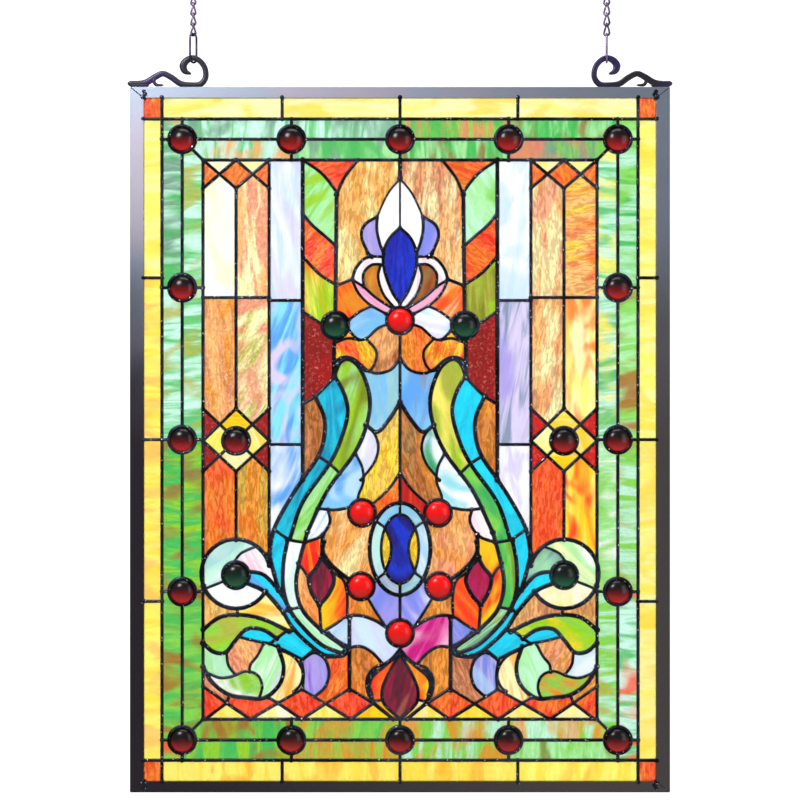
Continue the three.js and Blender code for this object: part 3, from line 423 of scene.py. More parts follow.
def sides_of_triangle(face):
    return [frozenset((face[i], face[(i + 1) % 3])) for i in range(3)]


def parted_sheet():
    """The tiles: all the triangles that can be reached from one another without crossing a cut."""
    points, faces, cuts = cut_sheet()
    across = {}
    for f, face in enumerate(faces):
        for side in sides_of_triangle(face):
            across.setdefault(side, []).append(f)
    seen, tiles = set(), []
    for first in range(len(faces)):
        if first in seen:
            continue
        queue, members = [first], []
        seen.add(first)
        while queue:
            f = queue.pop()
            members.append(f)
            for side in sides_of_triangle(faces[f]):
                for other in across[side]:
                    if side not in cuts and other not in seen:
                        seen.add(other)
                        queue.append(other)
        tiles.append([tuple(points[i] for i in faces[f]) for f in members])
    return tiles


def triangle_area(t):
    a, b, c = t
    return ((b.x - a.x) * (c.y - a.y) - (b.y - a.y) * (c.x - a.x)) / 2


def tile_facts(tile):
    """The tile's area and the middle of it."""
    areas = [abs(triangle_area(t)) for t in tile]
    total = sum(areas)
    middle = sum(((sum(t, Vector((0, 0))) / 3) * a for t, a in zip(tile, areas)), Vector((0, 0))) / total
    return total, middle


def holds(tile, p):
    """Whether the point lies in the tile."""
    for a, b, c in tile:
        s = [(q.x - o.x) * (p.y - o.y) - (q.y - o.y) * (p.x - o.x) for o, q in ((a, b), (b, c), (c, a))]
        if min(s) >= -1e-9 or max(s) <= 1e-9:
            return True
    return False


def is_tile(tile):
    """Whether it is neither a sliver nor the hole of a jewel."""
    size, middle = tile_facts(tile)
    return size >= SMALLEST_TILE and all((middle - c).length >= JEWEL * 0.9 for _, c, _ in JEWELS)


TILES = [tile for tile in parted_sheet() if is_tile(tile)]

# Colours of the glass
PAINT = {
    "white": (255, 255, 255), "snow": (240, 244, 252), "ice": (214, 232, 244),
    "cream": (254, 242, 190), "pale_yellow": (255, 236, 132), "yellow": (252, 210, 70),
    "gold": (238, 170, 36), "amber": (222, 146, 66), "sand": (224, 186, 116), "peach": (238, 178, 120),
    "orange": (246, 130, 32), "deep_orange": (248, 90, 0), "red_orange": (242, 62, 0),
    "red": (176, 16, 8), "dark_red": (136, 12, 8), "brown": (164, 98, 50),
    "rose_brown": (200, 134, 100), "red_brown": (146, 52, 30), "olive": (120, 130, 34),
    "olive_light": (176, 176, 84), "olive_brown": (146, 116, 70), "lime": (158, 204, 62),
    "green_lime": (136, 206, 92), "pale_green": (176, 230, 170), "mint": (204, 242, 226),
    "green": (78, 182, 92), "emerald": (20, 156, 96), "sage": (122, 162, 138),
    "turquoise": (0, 190, 214), "cyan": (0, 212, 244), "deep_turq": (0, 132, 170),
    "turq_pale": (150, 222, 232), "aqua_grey": (160, 204, 210), "grey_blue": (140, 152, 178),
    "sky": (140, 196, 238), "pale_blue": (190, 220, 244), "blue_light": (110, 168, 230),
    "cobalt": (28, 66, 198), "blue_deep": (14, 40, 160), "navy": (4, 12, 116),
    "lavender": (176, 164, 224), "lavender_pale": (218, 210, 238), "periwinkle": (134, 144, 222),
    "purple": (150, 100, 214), "plum": (88, 14, 42), "raspberry": (160, 20, 64),
    "magenta": (196, 50, 130), "magenta_pink": (222, 104, 172), "pink": (244, 184, 208),
    "magenta_pale": (244, 150, 196), "rose": (226, 140, 118),
}

# Per row: a place in each tile on the left half of the drawing, the glass there, and the glass of
# the mirror image where that is another one. Glass is three colours, a pattern and the way the
# pattern runs, in degrees.
GLASS_TABLE = """
-156 543 | cream white cream wispy 90 | cream pale_yellow cream wispy 90
-128 543 | cream white pale_yellow wispy 90 | cream pale_yellow cream wispy 90
-165 534 | orange deep_orange orange ripple 60
-137 536 | orange deep_orange orange ripple 60 | orange deep_orange orange ripple 120
-118 535 | orange red_orange orange ripple 60 | orange deep_orange orange ripple 60
-151 462 | white snow cream wispy 90 | peach yellow deep_orange ripple 5
-132 459 | cream rose peach speckle 90 | peach cream rose ripple 90
-151 396 | peach rose_brown amber speckle 90 | cream pale_yellow orange streak 84
-124 363 | cream olive_light rose speckle 60 | peach rose_brown cream ripple 90
-165 318, -118 318, -166 291, -119 290 | dark_red red dark_red dots 90 | red red_orange red dots 90
-158 311 | yellow pale_yellow cream streak 60 | yellow cream yellow streak 120
-135 321 | yellow gold yellow streak 0 | yellow pale_yellow gold streak 0
-125 311 | cream yellow pale_yellow streak 120 | cream pale_yellow cream streak 60
-149 288 | yellow gold cream streak 0 | yellow pale_yellow gold streak 0
-104 471 | snow pale_blue lavender_pale wispy 90 | white ice pale_blue wispy 90
-104 392 | turq_pale blue_light lavender_pale swirl 70 | grey_blue lavender_pale lavender swirl 80
-94 282 | pale_blue blue_light snow swirl 70 | snow lavender_pale white swirl 90
-53 546 | deep_orange red_orange orange ripple 20 | orange deep_orange amber ripple 160
-66 513 | pale_green green_lime lime streak 60 | pale_green mint green_lime streak 120
-72 463 | deep_orange red_orange orange ripple 35 | deep_orange red_orange orange ripple 145
-67 426 | lime pale_yellow orange streak 90 | olive olive_light lime streak 90
-78 384 | dark_red dark_red red dots 90 | dark_red red dark_red dots 90
-46 491 | sand cream amber ripple 90 | rose_brown cream peach ripple 90
-3 514 | white snow white wispy 90
-22 468 | lavender lavender_pale periwinkle wispy 100 | periwinkle lavender periwinkle wispy 80
4 470 | cobalt blue_deep cobalt streak 90
-37 447 | white pink white wispy 60 | white pink white wispy 120
-26 439 | olive_brown amber brown streak 100 | red_brown brown olive_brown streak 80
-11 417 | pink magenta_pale pink wispy 140 | pink magenta_pale pink wispy 40
-47 428 | orange red_orange amber streak 120 | orange cream deep_orange streak 60
-31 402 | sky pale_blue blue_light wispy 20 | snow lavender_pale turq_pale wispy 160
-32 384 | red_orange orange yellow ripple 110 | orange yellow red_orange ripple 70
-9 386 | brown rose_brown peach ripple 80 | orange amber deep_orange ripple 100
-49 361 | lime pale_green olive streak 80 | lime olive_light pale_yellow streak 100
-15 349 | sky aqua_grey pale_blue swirl 100 | sky grey_blue blue_light swirl 80
-62 342 | turquoise deep_turq cyan streak 100 | cyan turquoise cyan streak 80
-76 319 | brown rose_brown brown ripple 90 | amber orange brown ripple 90
-11 298 | yellow sand gold ripple 80 | brown amber olive_brown ripple 100
-31 293 | snow lavender_pale aqua_grey wispy 80 | pale_blue snow emerald swirl 100
-45 258 | blue_light sky pale_blue swirl 20 | white snow turq_pale swirl 160
-101 228 | turquoise deep_turq turquoise streak 70 | cyan turquoise cyan streak 110
-60 275 | green_lime pale_green lime streak 60 | emerald green green_lime streak 120
-103 218 | deep_turq turquoise cyan streak 90 | cyan turquoise cyan streak 90
-91 212 | white snow mint wispy 90 | green green_lime olive streak 90
-128 185 | cyan blue_light cyan streak 130 | cyan turquoise cyan streak 50
-70 124, -88 132 | cyan turquoise cyan streak 140 | cyan turquoise cyan streak 40
-67 134 | pale_green mint white streak 140 | sage pale_green olive_light streak 40
-68 229 | snow blue_light white wispy 60 | white pink snow wispy 120
-76 202 | red_orange yellow orange streak 100 | orange red_orange yellow streak 80
-70 187 | plum raspberry plum streak 90 | raspberry magenta raspberry streak 90
-82 165 | peach orange peach ripple 100 | orange red_orange yellow streak 80
-54 158 | red_orange orange yellow streak 50 | deep_orange orange red_orange streak 130
-42 214 | peach amber cream ripple 80 | peach rose amber ripple 95
-9 157 | periwinkle lavender lavender wispy 60 | periwinkle lavender snow wispy 120
-51 142 | pale_blue blue_light snow wispy 60 | periwinkle lavender blue_light wispy 120
-20 136 | ice pale_blue lavender_pale wispy 120 | magenta_pink magenta pink swirl 60
-38 106, -27 95 | brown amber orange ripple 90 | amber brown orange ripple 90
-52 103 | deep_orange orange amber ripple 70 | rose_brown red_brown brown ripple 110
-72 111 | lavender purple periwinkle swirl 90 | periwinkle lavender_pale pale_blue wispy 90
-102 84 | cream gold pale_yellow streak 80 | cream orange gold streak 100
-20 98 | red_orange deep_orange orange streak 80 | yellow orange red_orange streak 100
-13 241 | sky aqua_grey pale_blue wispy 30 | aqua_grey sky pale_blue wispy 150
-23 206 | ice aqua_grey mint wispy 90 | ice aqua_grey sky wispy 90
-13 180 | grey_blue ice grey_blue wispy 150 | aqua_grey ice grey_blue wispy 30
-13 213 | yellow olive_light gold ripple 90 | amber gold yellow ripple 90
0 231 | navy navy cobalt streak 90
-164 190 | mint aqua_grey white wispy 40 | cream pale_green white streak 140
-166 161 | sand amber peach ripple 90 | brown peach sand ripple 90
-117 160 | pale_yellow cream gold streak 10 | rose_brown peach sand ripple 90
-161 131 | lime green_lime olive_light streak 20 | lime green_lime yellow streak 160
-118 133 | cyan turquoise cyan streak 160 | cyan turquoise cyan streak 20
-157 111 | pale_green mint white wispy 110 | ice mint white wispy 70
-135 125 | peach rose amber ripple 110 | peach amber rose ripple 70
-116 110 | pale_green snow lavender_pale wispy 70 | pale_green mint green wispy 110
-127 92 | lime green_lime white streak 20 | olive_light orange green_lime streak 160
-163 78, -119 73 | deep_orange red_orange deep_orange ripple 100 | deep_orange red_orange orange ripple 80
-92 76, -50 75 | deep_orange red_orange deep_orange ripple 100 | deep_orange red_orange orange ripple 80
-149 67 | pale_yellow cream yellow wispy 90 | cream pale_yellow cream wispy 90
-110 69 | cream pale_yellow white wispy 90 | pale_yellow cream yellow wispy 90
-64 68 | pale_yellow yellow cream wispy 90 | yellow pale_yellow cream wispy 90
-24 67 | yellow gold yellow wispy 90 | pale_yellow yellow cream wispy 90
-158 256 | orange brown deep_orange ripple 90 | yellow pale_yellow red_orange swirl 90
-129 257 | amber olive_light orange ripple 90 | deep_orange orange deep_orange ripple 90
-140 172 | white snow white wispy 90 | cream pale_yellow white wispy 90
-128 200 | snow pink white wispy 130 | sage aqua_grey pale_green wispy 50
-31 160 | amber orange brown ripple 90 | brown peach amber ripple 90
-9 258 | orange amber deep_orange speckle 90 | red deep_orange red streak 90
-160.2 89.6 | peach rose brown ripple 130 | peach amber brown ripple 50
-13.5 437 | white pink white wispy 90
-100.8 168.9, -66.5 118.2 | cyan turquoise cyan streak 90
-6.5 115.6 | ice pale_blue white wispy 90 | magenta_pink pink pink wispy 90
-12.3 71.7, -14.5 70.2 | gold yellow amber wispy 90 | yellow gold cream wispy 90
0 90 | plum raspberry rose_brown soft 80
"""

# Patterns: the contrast of the streaks, the ripple (its bump and its painted light and shade) and the
# specks (their lift and their painted glint)
PATTERNS = {
    "soft": (0.6, 0.12, 0.0), "wispy": (0.6, 0.05, 0.0), "streak": (0.9, 0.16, 0.0),
    "marble": (0.85, 0.2, 0.0), "swirl": (1.0, 0.06, 0.0), "ripple": (0.75, 1.0, 0.1),
    "speckle": (0.9, 0.6, 1.0), "dots": (0.4, 0.05, 0.7),
}
DEPTH = 1.16


def linear(rgb):
    """The colour as the shaders need it, from shares of 255 as a screen shows them."""
    return tuple((c / 255 / 12.92) if c <= 10 else ((c / 255 + 0.055) / 1.055) ** 2.4 for c in rgb)


def deepened(rgb):
    """The colour, a little further from its own grey."""
    grey = sum(rgb) / 3
    return tuple(min(max(grey + (c - grey) * DEPTH, 0.0), 1.0) for c in rgb)


def glass_of(words):
    *colours, kind, angle = words.split()
    tints = [deepened(linear(PAINT[colour])) for colour in colours]
    return {"tints": tints, "kind": PATTERNS[kind], "angle": float(angle)}


def tile_at(p):
    for i, tile in enumerate(TILES):
        if holds(tile, p):
            return i
    return None


# Sheets of the green border: along the top and the bottom, and up the sides
BORDER_SHEETS = {
    "top left": ("mint green peach", "pale_green sage green", "mint green sage",
                 "sage pale_green green_lime"),
    "top right": ("green pale_green olive_brown", "green_lime rose green", "sage green_lime rose",
                  "green amber pale_green"),
    "bottom left": ("green_lime green amber", "green lime brown", "amber green_lime olive_light"),
    "bottom right": ("pale_green green_lime olive", "green_lime mint amber", "lime green orange"),
    "upper left": ("mint green olive_light", "pale_green sage peach", "sage mint green"),
    "upper right": ("mint green pale_yellow", "pale_green green_lime brown", "green mint green_lime"),
    "lower left": ("green_lime green brown", "green lime olive_brown", "green green_lime deep_orange"),
    "lower right": ("pale_green white green_lime", "green_lime mint olive_light", "mint green deep_orange"),
}


def default_glass(x, z):
    """Glass of the borders, which run round the picture in a few mixed sheets."""
    side = "left" if x < 0 else "right"
    if abs(x) > RING_X and (z > RING_HIGH or z < RING_LOW):
        return "orange red_orange deep_orange ripple 90"
    if abs(x) > RING_X:
        if side == "right" or z > MIDDLE + SIDE_BARS:
            return "pale_yellow cream yellow soft 0"
        return "pale_yellow yellow peach soft 0"
    if z > RING_HIGH:
        return "cream pale_yellow yellow soft 0"
    if z < RING_LOW:
        return "pale_yellow yellow gold soft 90"
    if abs(x) > FIELD_X:
        height = "upper" if z > MIDDLE else "lower"
        return f"{random.choice(BORDER_SHEETS[f'{height} {side}'])} marble 2"
    height = "top" if z > FIELD_HIGH else "bottom"
    return f"{random.choice(BORDER_SHEETS[f'{height} {side}'])} marble 88"


OFF_MIDDLE = 0.4
GLASS_OF = {}
for row in GLASS_TABLE.strip().splitlines():
    places, *both = row.split(" | ")
    for place in places.split(", "):
        x, z = (float(v) for v in place.split())
        GLASS_OF[tile_at(placed((x or OFF_MIDDLE, z)))] = glass_of(both[0])
        GLASS_OF[tile_at(placed((-x or OFF_MIDDLE, z)))] = glass_of(both[-1])
for i, tile in enumerate(TILES):
    if i not in GLASS_OF:
        _, middle = tile_facts(tile)
        GLASS_OF[i] = glass_of(default_glass(middle.x, middle.y))


# Helpers for pieces
def piece(name, verts, faces, material, slot, nodes=(), flat=False):
    """One piece of the panel, which may stand for nodes of the solid model."""
    mesh = bpy.data.meshes.new(name)
    mesh.from_pydata([tuple(v) for v in verts], [], faces)
    mesh.validate()
    obj = bpy.data.objects.new(name, mesh)
    bpy.context.scene.collection.objects.link(obj)
    bm = bmesh.new()
    bm.from_mesh(mesh)
    bmesh.ops.recalc_face_normals(bm, faces=bm.faces)
    bm.to_mesh(mesh)
    bm.free()
    for polygon in mesh.polygons:
        polygon.use_smooth = not flat
    mesh.materials.append(material)
    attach(obj, "root")
    if nodes:
        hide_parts(*nodes)
    return obj


def stitch(faces, start, rings, sides, closed=False):
    """Faces between each ring of points and the next; a closed run ends at its first ring."""
    for i in range(rings if closed else rings - 1):
        here, there = start + i * sides, start + (i + 1) % rings * sides
        for k in range(sides):
            after = (k + 1) % sides
            faces.append((here + k, here + after, there + after, there + k))


def cap(faces, start, sides, turned=False):
    ring = range(start, start + sides)
    faces.append(tuple(reversed(ring) if turned else ring))


class Nodes:
    """A shorthand for building the nodes of a material."""

    def __init__(self, name):
        self.material = bpy.data.materials.new(name)
        self.material.use_nodes = True
        self.tree = self.material.node_tree
        self.shader = self.tree.nodes["Principled BSDF"]

    def add(self, kind, inputs=None, **settings):
        node = self.tree.nodes.new(kind)
        for key, value in settings.items():
            setattr(node, key, value)
        for key, value in (inputs or {}).items():
            self.put(node.inputs[key], value)
        return node

    def put(self, socket, value):
        if isinstance(value, bpy.types.NodeSocket):
            self.tree.links.new(value, socket)
        else:
            socket.default_value = value

    def math(self, operation, a, b=0.0, clamp=False):
        node = self.add("ShaderNodeMath", {0: a, 1: b}, operation=operation)
        node.use_clamp = clamp
        return node.outputs[0]

    def noise(self, vector, scale, detail=2.0, roughness=0.5, distortion=0.0):
        node = self.add("ShaderNodeTexNoise", {"Vector": vector, "Scale": scale, "Detail": detail,
                                               "Roughness": roughness, "Distortion": distortion})
        return node.outputs["Fac"]

    def band(self, value, low, high):
        node = self.add("ShaderNodeMapRange", {"Value": value, "From Min": low, "From Max": high})
        node.interpolation_type = "SMOOTHSTEP"
        return node.outputs["Result"]

    def mix(self, share, a, b, blend="MIX"):
        node = self.add("ShaderNodeMix", data_type="RGBA", blend_type=blend)
        self.put(node.inputs[0], share)
        self.put(node.inputs[6], a)
        self.put(node.inputs[7], b)
        return node.outputs[2]

    def bump(self, height, strength, distance):
        node = self.add("ShaderNodeBump", {"Height": height, "Strength": strength, "Distance": distance})
        return node.outputs["Normal"]

    def set(self, **values):
        for key, value in values.items():
            self.put(self.shader.inputs[key.replace("_", " ")], value)


def rgba(rgb):
    return linear(rgb) + (1.0,)


# Materials
# How much the ripple ridges' painted light and shade and the light specks change the glass colour
RIPPLE_LIGHT_AND_SHADE, SPECK_LIFT = 0.46, 0.5
# The warm white of the painted glints on the glass, and the pale metal of the painted glints on the solder
WARM_LIGHT, PAINTED_GLINT_METAL = (1.0, 0.86, 0.6, 1.0), (0.78, 0.80, 0.86, 1.0)
# Heights over which the zinc's painted shade gives way to its painted light
SHADE_FADE_TOP, SHADE_FADE_FOOT = -0.075, -0.325


def art_glass(name):
    """Opalescent sheet glass. Each tile brings its three colours, its pattern and a turn and a
    seed of its own as face attributes; the streaks, ripples and specks are noise. Along the ripple
    ridges the colour is made lighter and darker as painted light and shade, and the ridges and
    specks are mixed towards a warm white as painted glints."""
    n = Nodes(name)

    def attribute(key, output):
        return n.add("ShaderNodeAttribute", attribute_name=key).outputs[output]

    place = n.add("ShaderNodeTexCoord").outputs["Object"]
    turn = n.add("ShaderNodeSeparateXYZ", {0: attribute("turn", "Vector")})
    grain = n.add("ShaderNodeSeparateXYZ", {0: attribute("grain", "Vector")})
    cos, sin, seed = turn.outputs[0], turn.outputs[1], turn.outputs[2]
    contrast, ripple, speckle = grain.outputs[0], grain.outputs[1], grain.outputs[2]
    axes = n.add("ShaderNodeSeparateXYZ", {0: place})
    x, y, z = axes.outputs[0], axes.outputs[1], axes.outputs[2]
    along = n.math("ADD", n.math("MULTIPLY", x, cos), n.math("MULTIPLY", z, sin))
    side = n.math("SUBTRACT", n.math("MULTIPLY", z, cos), n.math("MULTIPLY", x, sin))

    def field(stretch_along, stretch_side, shift):
        """Places pulled out along the tile's own way, apart from those of every other tile."""
        at = n.add("ShaderNodeCombineXYZ", {0: n.math("MULTIPLY", along, stretch_along),
                                            1: n.math("MULTIPLY", side, stretch_side),
                                            2: n.math("ADD", seed, shift)})
        return at.outputs[0]

    streak = n.noise(field(12, 88, 0.0), 1.0, detail=3.0, roughness=0.55, distortion=1.1)
    swirl = n.noise(field(15, 27, 7.0), 1.0, detail=1.5, distortion=1.7)
    first = n.mix(n.math("MULTIPLY", n.band(streak, 0.40, 0.62), contrast, clamp=True),
                  attribute("tint_a", "Color"), attribute("tint_b", "Color"))
    second = n.mix(n.math("MULTIPLY", n.band(swirl, 0.44, 0.66), contrast, clamp=True),
                   first, attribute("tint_c", "Color"))
    ridge = n.band(n.noise(field(120, 430, 3.0), 1.0, detail=1.0, distortion=0.9), 0.40, 0.62)
    specks = n.band(n.noise(place, 430.0, roughness=0.65), 0.55, 0.66)
    # Painted light and shade: the colour is made lighter along the ripple ridges and darker between them;
    # the light specks brighten it too.
    lift = n.math("MULTIPLY", n.math("SUBTRACT", ridge, 0.5), n.math("MULTIPLY", ripple, RIPPLE_LIGHT_AND_SHADE))
    dots = n.math("MULTIPLY", specks, n.math("MULTIPLY", speckle, SPECK_LIFT))
    light = n.math("ADD", n.math("ADD", lift, dots), 1.0)
    shade = n.add("ShaderNodeCombineXYZ", {0: light, 1: light, 2: light}).outputs[0]
    dyed = n.mix(1.0, second, shade, "MULTIPLY")
    # Painted glints: the lit ridges and the specks are mixed towards a warm white.
    glint_share = n.math("ADD", lift, n.math("MULTIPLY", dots, 2.0))
    tint = n.mix(n.math("MULTIPLY", glint_share, 0.3, clamp=True), dyed, WARM_LIGHT)
    wave = n.noise(field(40, 60, 11.0), 1.0, detail=1.0)
    height = n.math("ADD", n.math("MULTIPLY", n.math("ADD", ridge, specks), ripple),
                    n.math("MULTIPLY", wave, 0.6))
    n.set(Base_Color=tint, Roughness=0.24, IOR=1.46, Transmission_Weight=0.78,
          Specular_IOR_Level=0.5, Coat_Weight=0.3, Coat_Roughness=0.06,
          Normal=n.bump(height, strength=0.35, distance=0.0006))
    return n.material


def jewel_glass(name, painted_shading_below, painted_shading_above):
    """Pressed glass with painted light and shade: faces that look down take one painted colour and faces
    that look up another, blended by the way each face looks.
    """
    n = Nodes(name)
    place = n.add("ShaderNodeTexCoord").outputs["Object"]
    swirl = n.noise(place, 70.0, distortion=1.5)
    normal = n.add("ShaderNodeNewGeometry").outputs["Normal"]
    up = n.add("ShaderNodeSeparateXYZ", {0: normal}).outputs[2]
    # Painted light and shade: the mix follows how far each face looks up, with a little noise in the edge
    # between the two colours.
    share = n.band(n.math("SUBTRACT", n.math("MULTIPLY", swirl, 0.3), up), -0.1, 0.95)
    n.set(Base_Color=n.mix(share, rgba(painted_shading_above), rgba(painted_shading_below)), Roughness=0.24, IOR=1.5, Specular_IOR_Level=0.16,
          Transmission_Weight=0.04, Coat_Weight=0.3, Coat_Roughness=0.17,
          Normal=n.bump(swirl, strength=0.06, distance=0.0004))
    return n.material


def rolled_zinc(name, stretch):
    """Rolled zinc with painted light and shade: pale and bluish as painted light towards the top, duller to
    the right, and dark brown-grey as painted shade lower down, with a ragged fade between.
    """
    n = Nodes(name)
    place = n.add("ShaderNodeTexCoord").outputs["Object"]
    pulled = n.add("ShaderNodeMapping", {"Vector": place, "Scale": stretch}).outputs[0]
    brush = n.noise(pulled, 90.0, detail=3.0, roughness=0.6)
    patches = n.noise(place, 9.0, distortion=0.4)
    across, _, height = n.add("ShaderNodeSeparateXYZ", {0: place}).outputs
    # Painted light and shade: pale towards the top, dark brown-grey below a ragged height.
    ragged = n.math("ADD", height, n.math("MULTIPLY", patches, 0.14))
    share = n.band(ragged, SHADE_FADE_FOOT, SHADE_FADE_TOP)
    painted_light_tone = n.mix(n.band(patches, 0.4, 0.62), rgba((166, 176, 196)), rgba((180, 174, 190)))
    painted_light_tone = n.mix(n.band(across, -0.05, 0.235), painted_light_tone, rgba((134, 142, 158)))
    painted_shade_tone = n.mix(n.band(across, -0.23, 0.2), rgba((58, 52, 60)), rgba((90, 84, 84)))
    tone = n.mix(share, painted_shade_tone, painted_light_tone)
    rough = n.math("ADD", n.math("MULTIPLY", brush, 0.16), 0.30)
    n.set(Base_Color=tone, Metallic=1.0, Roughness=rough,
          Normal=n.bump(brush, strength=0.12, distance=0.0002))
    return n.material


def metal(name, dark, bright, roughness, grain, metallic, glint_paint=0.0, coat=0.0):
    """Metal with patchy patina, a hammered grain and, where asked for, a few painted glints: small bright
    specks of pale metal.
    """
    n = Nodes(name)
    place = n.add("ShaderNodeTexCoord").outputs["Object"]
    patches = n.noise(place, 26.0, detail=3.0, roughness=0.6, distortion=0.5)
    brush = n.noise(place, grain, detail=3.0, roughness=0.6)
    tone = n.mix(n.math("MULTIPLY", n.band(patches, 0.35, 0.7), n.math("ADD", brush, 0.35), clamp=True),
                 rgba(dark), rgba(bright))
    if glint_paint:
        # Painted glints: small specks mixed towards a pale metal colour.
        glint = n.band(n.noise(place, 420.0, roughness=0.7), 0.635, 0.70)
        tone = n.mix(n.math("MULTIPLY", glint, glint_paint), tone, PAINTED_GLINT_METAL)
    rough = n.math("ADD", n.math("MULTIPLY", brush, 0.22), roughness)
    n.set(Base_Color=tone, Metallic=metallic, Roughness=rough, Coat_Weight=coat, Coat_Roughness=0.08,
          Normal=n.bump(brush, strength=0.25, distance=0.0002))
    return n.material


GLASS_MATERIAL = art_glass("art_glass")
# Per jewel colour the painted light and shade below, then above: the dark red and green glow below and are
# near black above; the bright red is darker below.
JEWEL_MATERIALS = {
    "dark_red": jewel_glass("jewel_dark_red", (190, 12, 12), (10, 0, 4)),
    "green": jewel_glass("jewel_green", (4, 90, 56), (0, 12, 8)),
    "bright_red": jewel_glass("jewel_bright_red", (176, 2, 2), (246, 8, 6)),
}
# The solder's bright specks are painted glints.
SOLDER_MATERIAL = metal("patina_solder", (14, 15, 22), (58, 62, 78), 0.22, 300.0, metallic=0.9, glint_paint=0.85)
ZINC_ACROSS = rolled_zinc("zinc_across", (2, 6, 40))
ZINC_UP = rolled_zinc("zinc_up", (40, 6, 2))
ENAMEL = metal("hook_enamel", (8, 2, 22), (40, 14, 84), 0.3, 160.0, metallic=0.2, coat=0.15)
CHAIN_STEEL = metal("chain_steel", (34, 20, 54), (150, 132, 166), 0.14, 500.0, metallic=0.95, coat=0.3)


# Tiles of glass
SIDES = ("top", "bottom", "left", "right")
FIELDS = {
    "green_glass": [f"green_border_{side}" for side in SIDES],
    "yellow_glass": [f"yellow_border_{side}" for side in SIDES],
    "white_glass": ["fleur_de_lis"],
    "amber_glass": ["heart_field"],
    "orange_glass": ["scroll_base"],
    "cream_glass": ["pillar_left", "pillar_right", "arch_ground_left", "arch_ground_right"],
    "blue_glass": ["blue_column_left", "blue_column_right"],
    "lime_glass": ["leaf_column_left", "leaf_column_right"],
    "turquoise_glass": ["lyre_left", "lyre_right"],
}
TILE_GAP, FARTHEST_MOVE = 0.35, 0.6
LEAN, LEAN_LIMIT = 0.004, 0.2
VOTES = 12
DRIFT = 1.1


def field_under(tile, trees):
    """The field of the solid model that lies under most of the tile."""
    votes = {}
    by_size = sorted(tile, key=triangle_area)
    for t in by_size[:VOTES] + by_size[-VOTES:]:
        middle = sum(t, Vector((0, 0))) / 3
        start = world(middle.x, -30, middle.y)
        for name, tree in trees.items():
            if tree.ray_cast(start, Vector((0, 1, 0)), 60 * MM)[0]:
                votes[name] = votes.get(name, 0) + abs(triangle_area(t))
    if votes:
        return max(votes, key=votes.get)
    _, middle = tile_facts(tile)
    centre = world(middle.x, 0, middle.y)
    return min(trees, key=lambda name: (trees[name].find_nearest(centre)[3] or 1.0))


def drawn_in(points, rim):
    """The tile's points with those on its rim drawn in a little from the seams' middles."""
    push = {}
    for a, b in rim:
        d = (points[b] - points[a]).normalized()
        for v in (a, b):
            push.setdefault(v, []).append(Vector((-d.y, d.x)))
    moved = list(points)
    for v, ways in push.items():
        total = sum(ways, Vector((0, 0)))
        if total.length > 0.3:
            step = TILE_GAP / max(total.length / len(ways), 0.5)
            moved[v] = points[v] + total.normalized() * min(step, FARTHEST_MOVE)
    return moved


def slab(tile, verts, faces):
    """Adds one tile as a flat slab, drawn in from the seams' middles and tilted a hair."""
    index, points = {}, []
    for t in tile:
        for p in t:
            key = (round(p.x, 4), round(p.y, 4))
            if key not in index:
                index[key] = len(points)
                points.append(Vector(key))
    flat = []
    for t in tile:
        ids = [index[(round(p.x, 4), round(p.y, 4))] for p in t]
        if len(set(ids)) == 3:
            flat.append(ids if triangle_area(t) > 0 else ids[::-1])
    directed = {(f[i], f[(i + 1) % 3]) for f in flat for i in range(3)}
    rim = [(a, b) for a, b in directed if (b, a) not in directed]
    moved = drawn_in(points, rim)
    _, middle = tile_facts(tile)
    lean = Vector((random.uniform(-1, 1), random.uniform(-1, 1))) * LEAN
    start, count = len(verts), len(moved)
    for depth in (-GLASS, GLASS):
        for p in moved:
            offset = max(-LEAN_LIMIT, min(LEAN_LIMIT, (p - middle).dot(lean)))
            verts.append(world(p.x, depth + offset, p.y))
    new = [tuple(start + i for i in f) for f in flat]
    new += [tuple(start + count + i for i in reversed(f)) for f in flat]
    new += [(start + b, start + a, start + count + a, start + count + b) for a, b in rim]
    faces.extend(new)
    return len(new)


def put_glass(mesh, facts):
    """Gives each face the glass of its tile: three tints, a turn with a seed, and a grain."""
    for i, key in enumerate(("tint_a", "tint_b", "tint_c")):
        layer = mesh.attributes.new(key, "FLOAT_COLOR", "CORNER")
        for polygon, (tints, _, _) in zip(mesh.polygons, facts):
            for loop in polygon.loop_indices:
                layer.data[loop].color = tints[i]
    for i, key in ((1, "turn"), (2, "grain")):
        layer = mesh.attributes.new(key, "FLOAT_VECTOR", "FACE")
        for polygon, fact in zip(mesh.polygons, facts):
            layer.data[polygon.index].vector = fact[i]


def glaze():
    """The tiles with their glass, one piece for each field of the solid model."""
    slots = {name: slot for slot, names in FIELDS.items() for name in names}
    trees = {}
    for name in slots:
        mesh = frame["nodes"][name].data
        shape = [v.co for v in mesh.vertices], [tuple(p.vertices) for p in mesh.polygons]
        trees[name] = BVHTree.FromPolygons(*shape)
    groups = {name: [] for name in slots}
    for i, tile in enumerate(TILES):
        groups[field_under(tile, trees)].append(i)
    for name, members in groups.items():
        verts, faces, facts = [], [], []
        for i in members:
            glass = GLASS_OF[i]
            angle = math.radians(glass["angle"] + random.uniform(-6, 6))
            turn = (math.cos(angle), math.sin(angle), random.uniform(0, 50))
            drift = random.uniform(1.0, DRIFT)
            tints = [tuple(min(c * drift, 1.0) for c in t) + (1.0,) for t in glass["tints"]]
            facts += [(tints, turn, glass["kind"])] * slab(TILES[i], verts, faces)
        tiles = piece(f"tiles_{name}", verts, faces, GLASS_MATERIAL, slots[name], (name,), flat=True)
        put_glass(tiles.data, facts)


glaze()


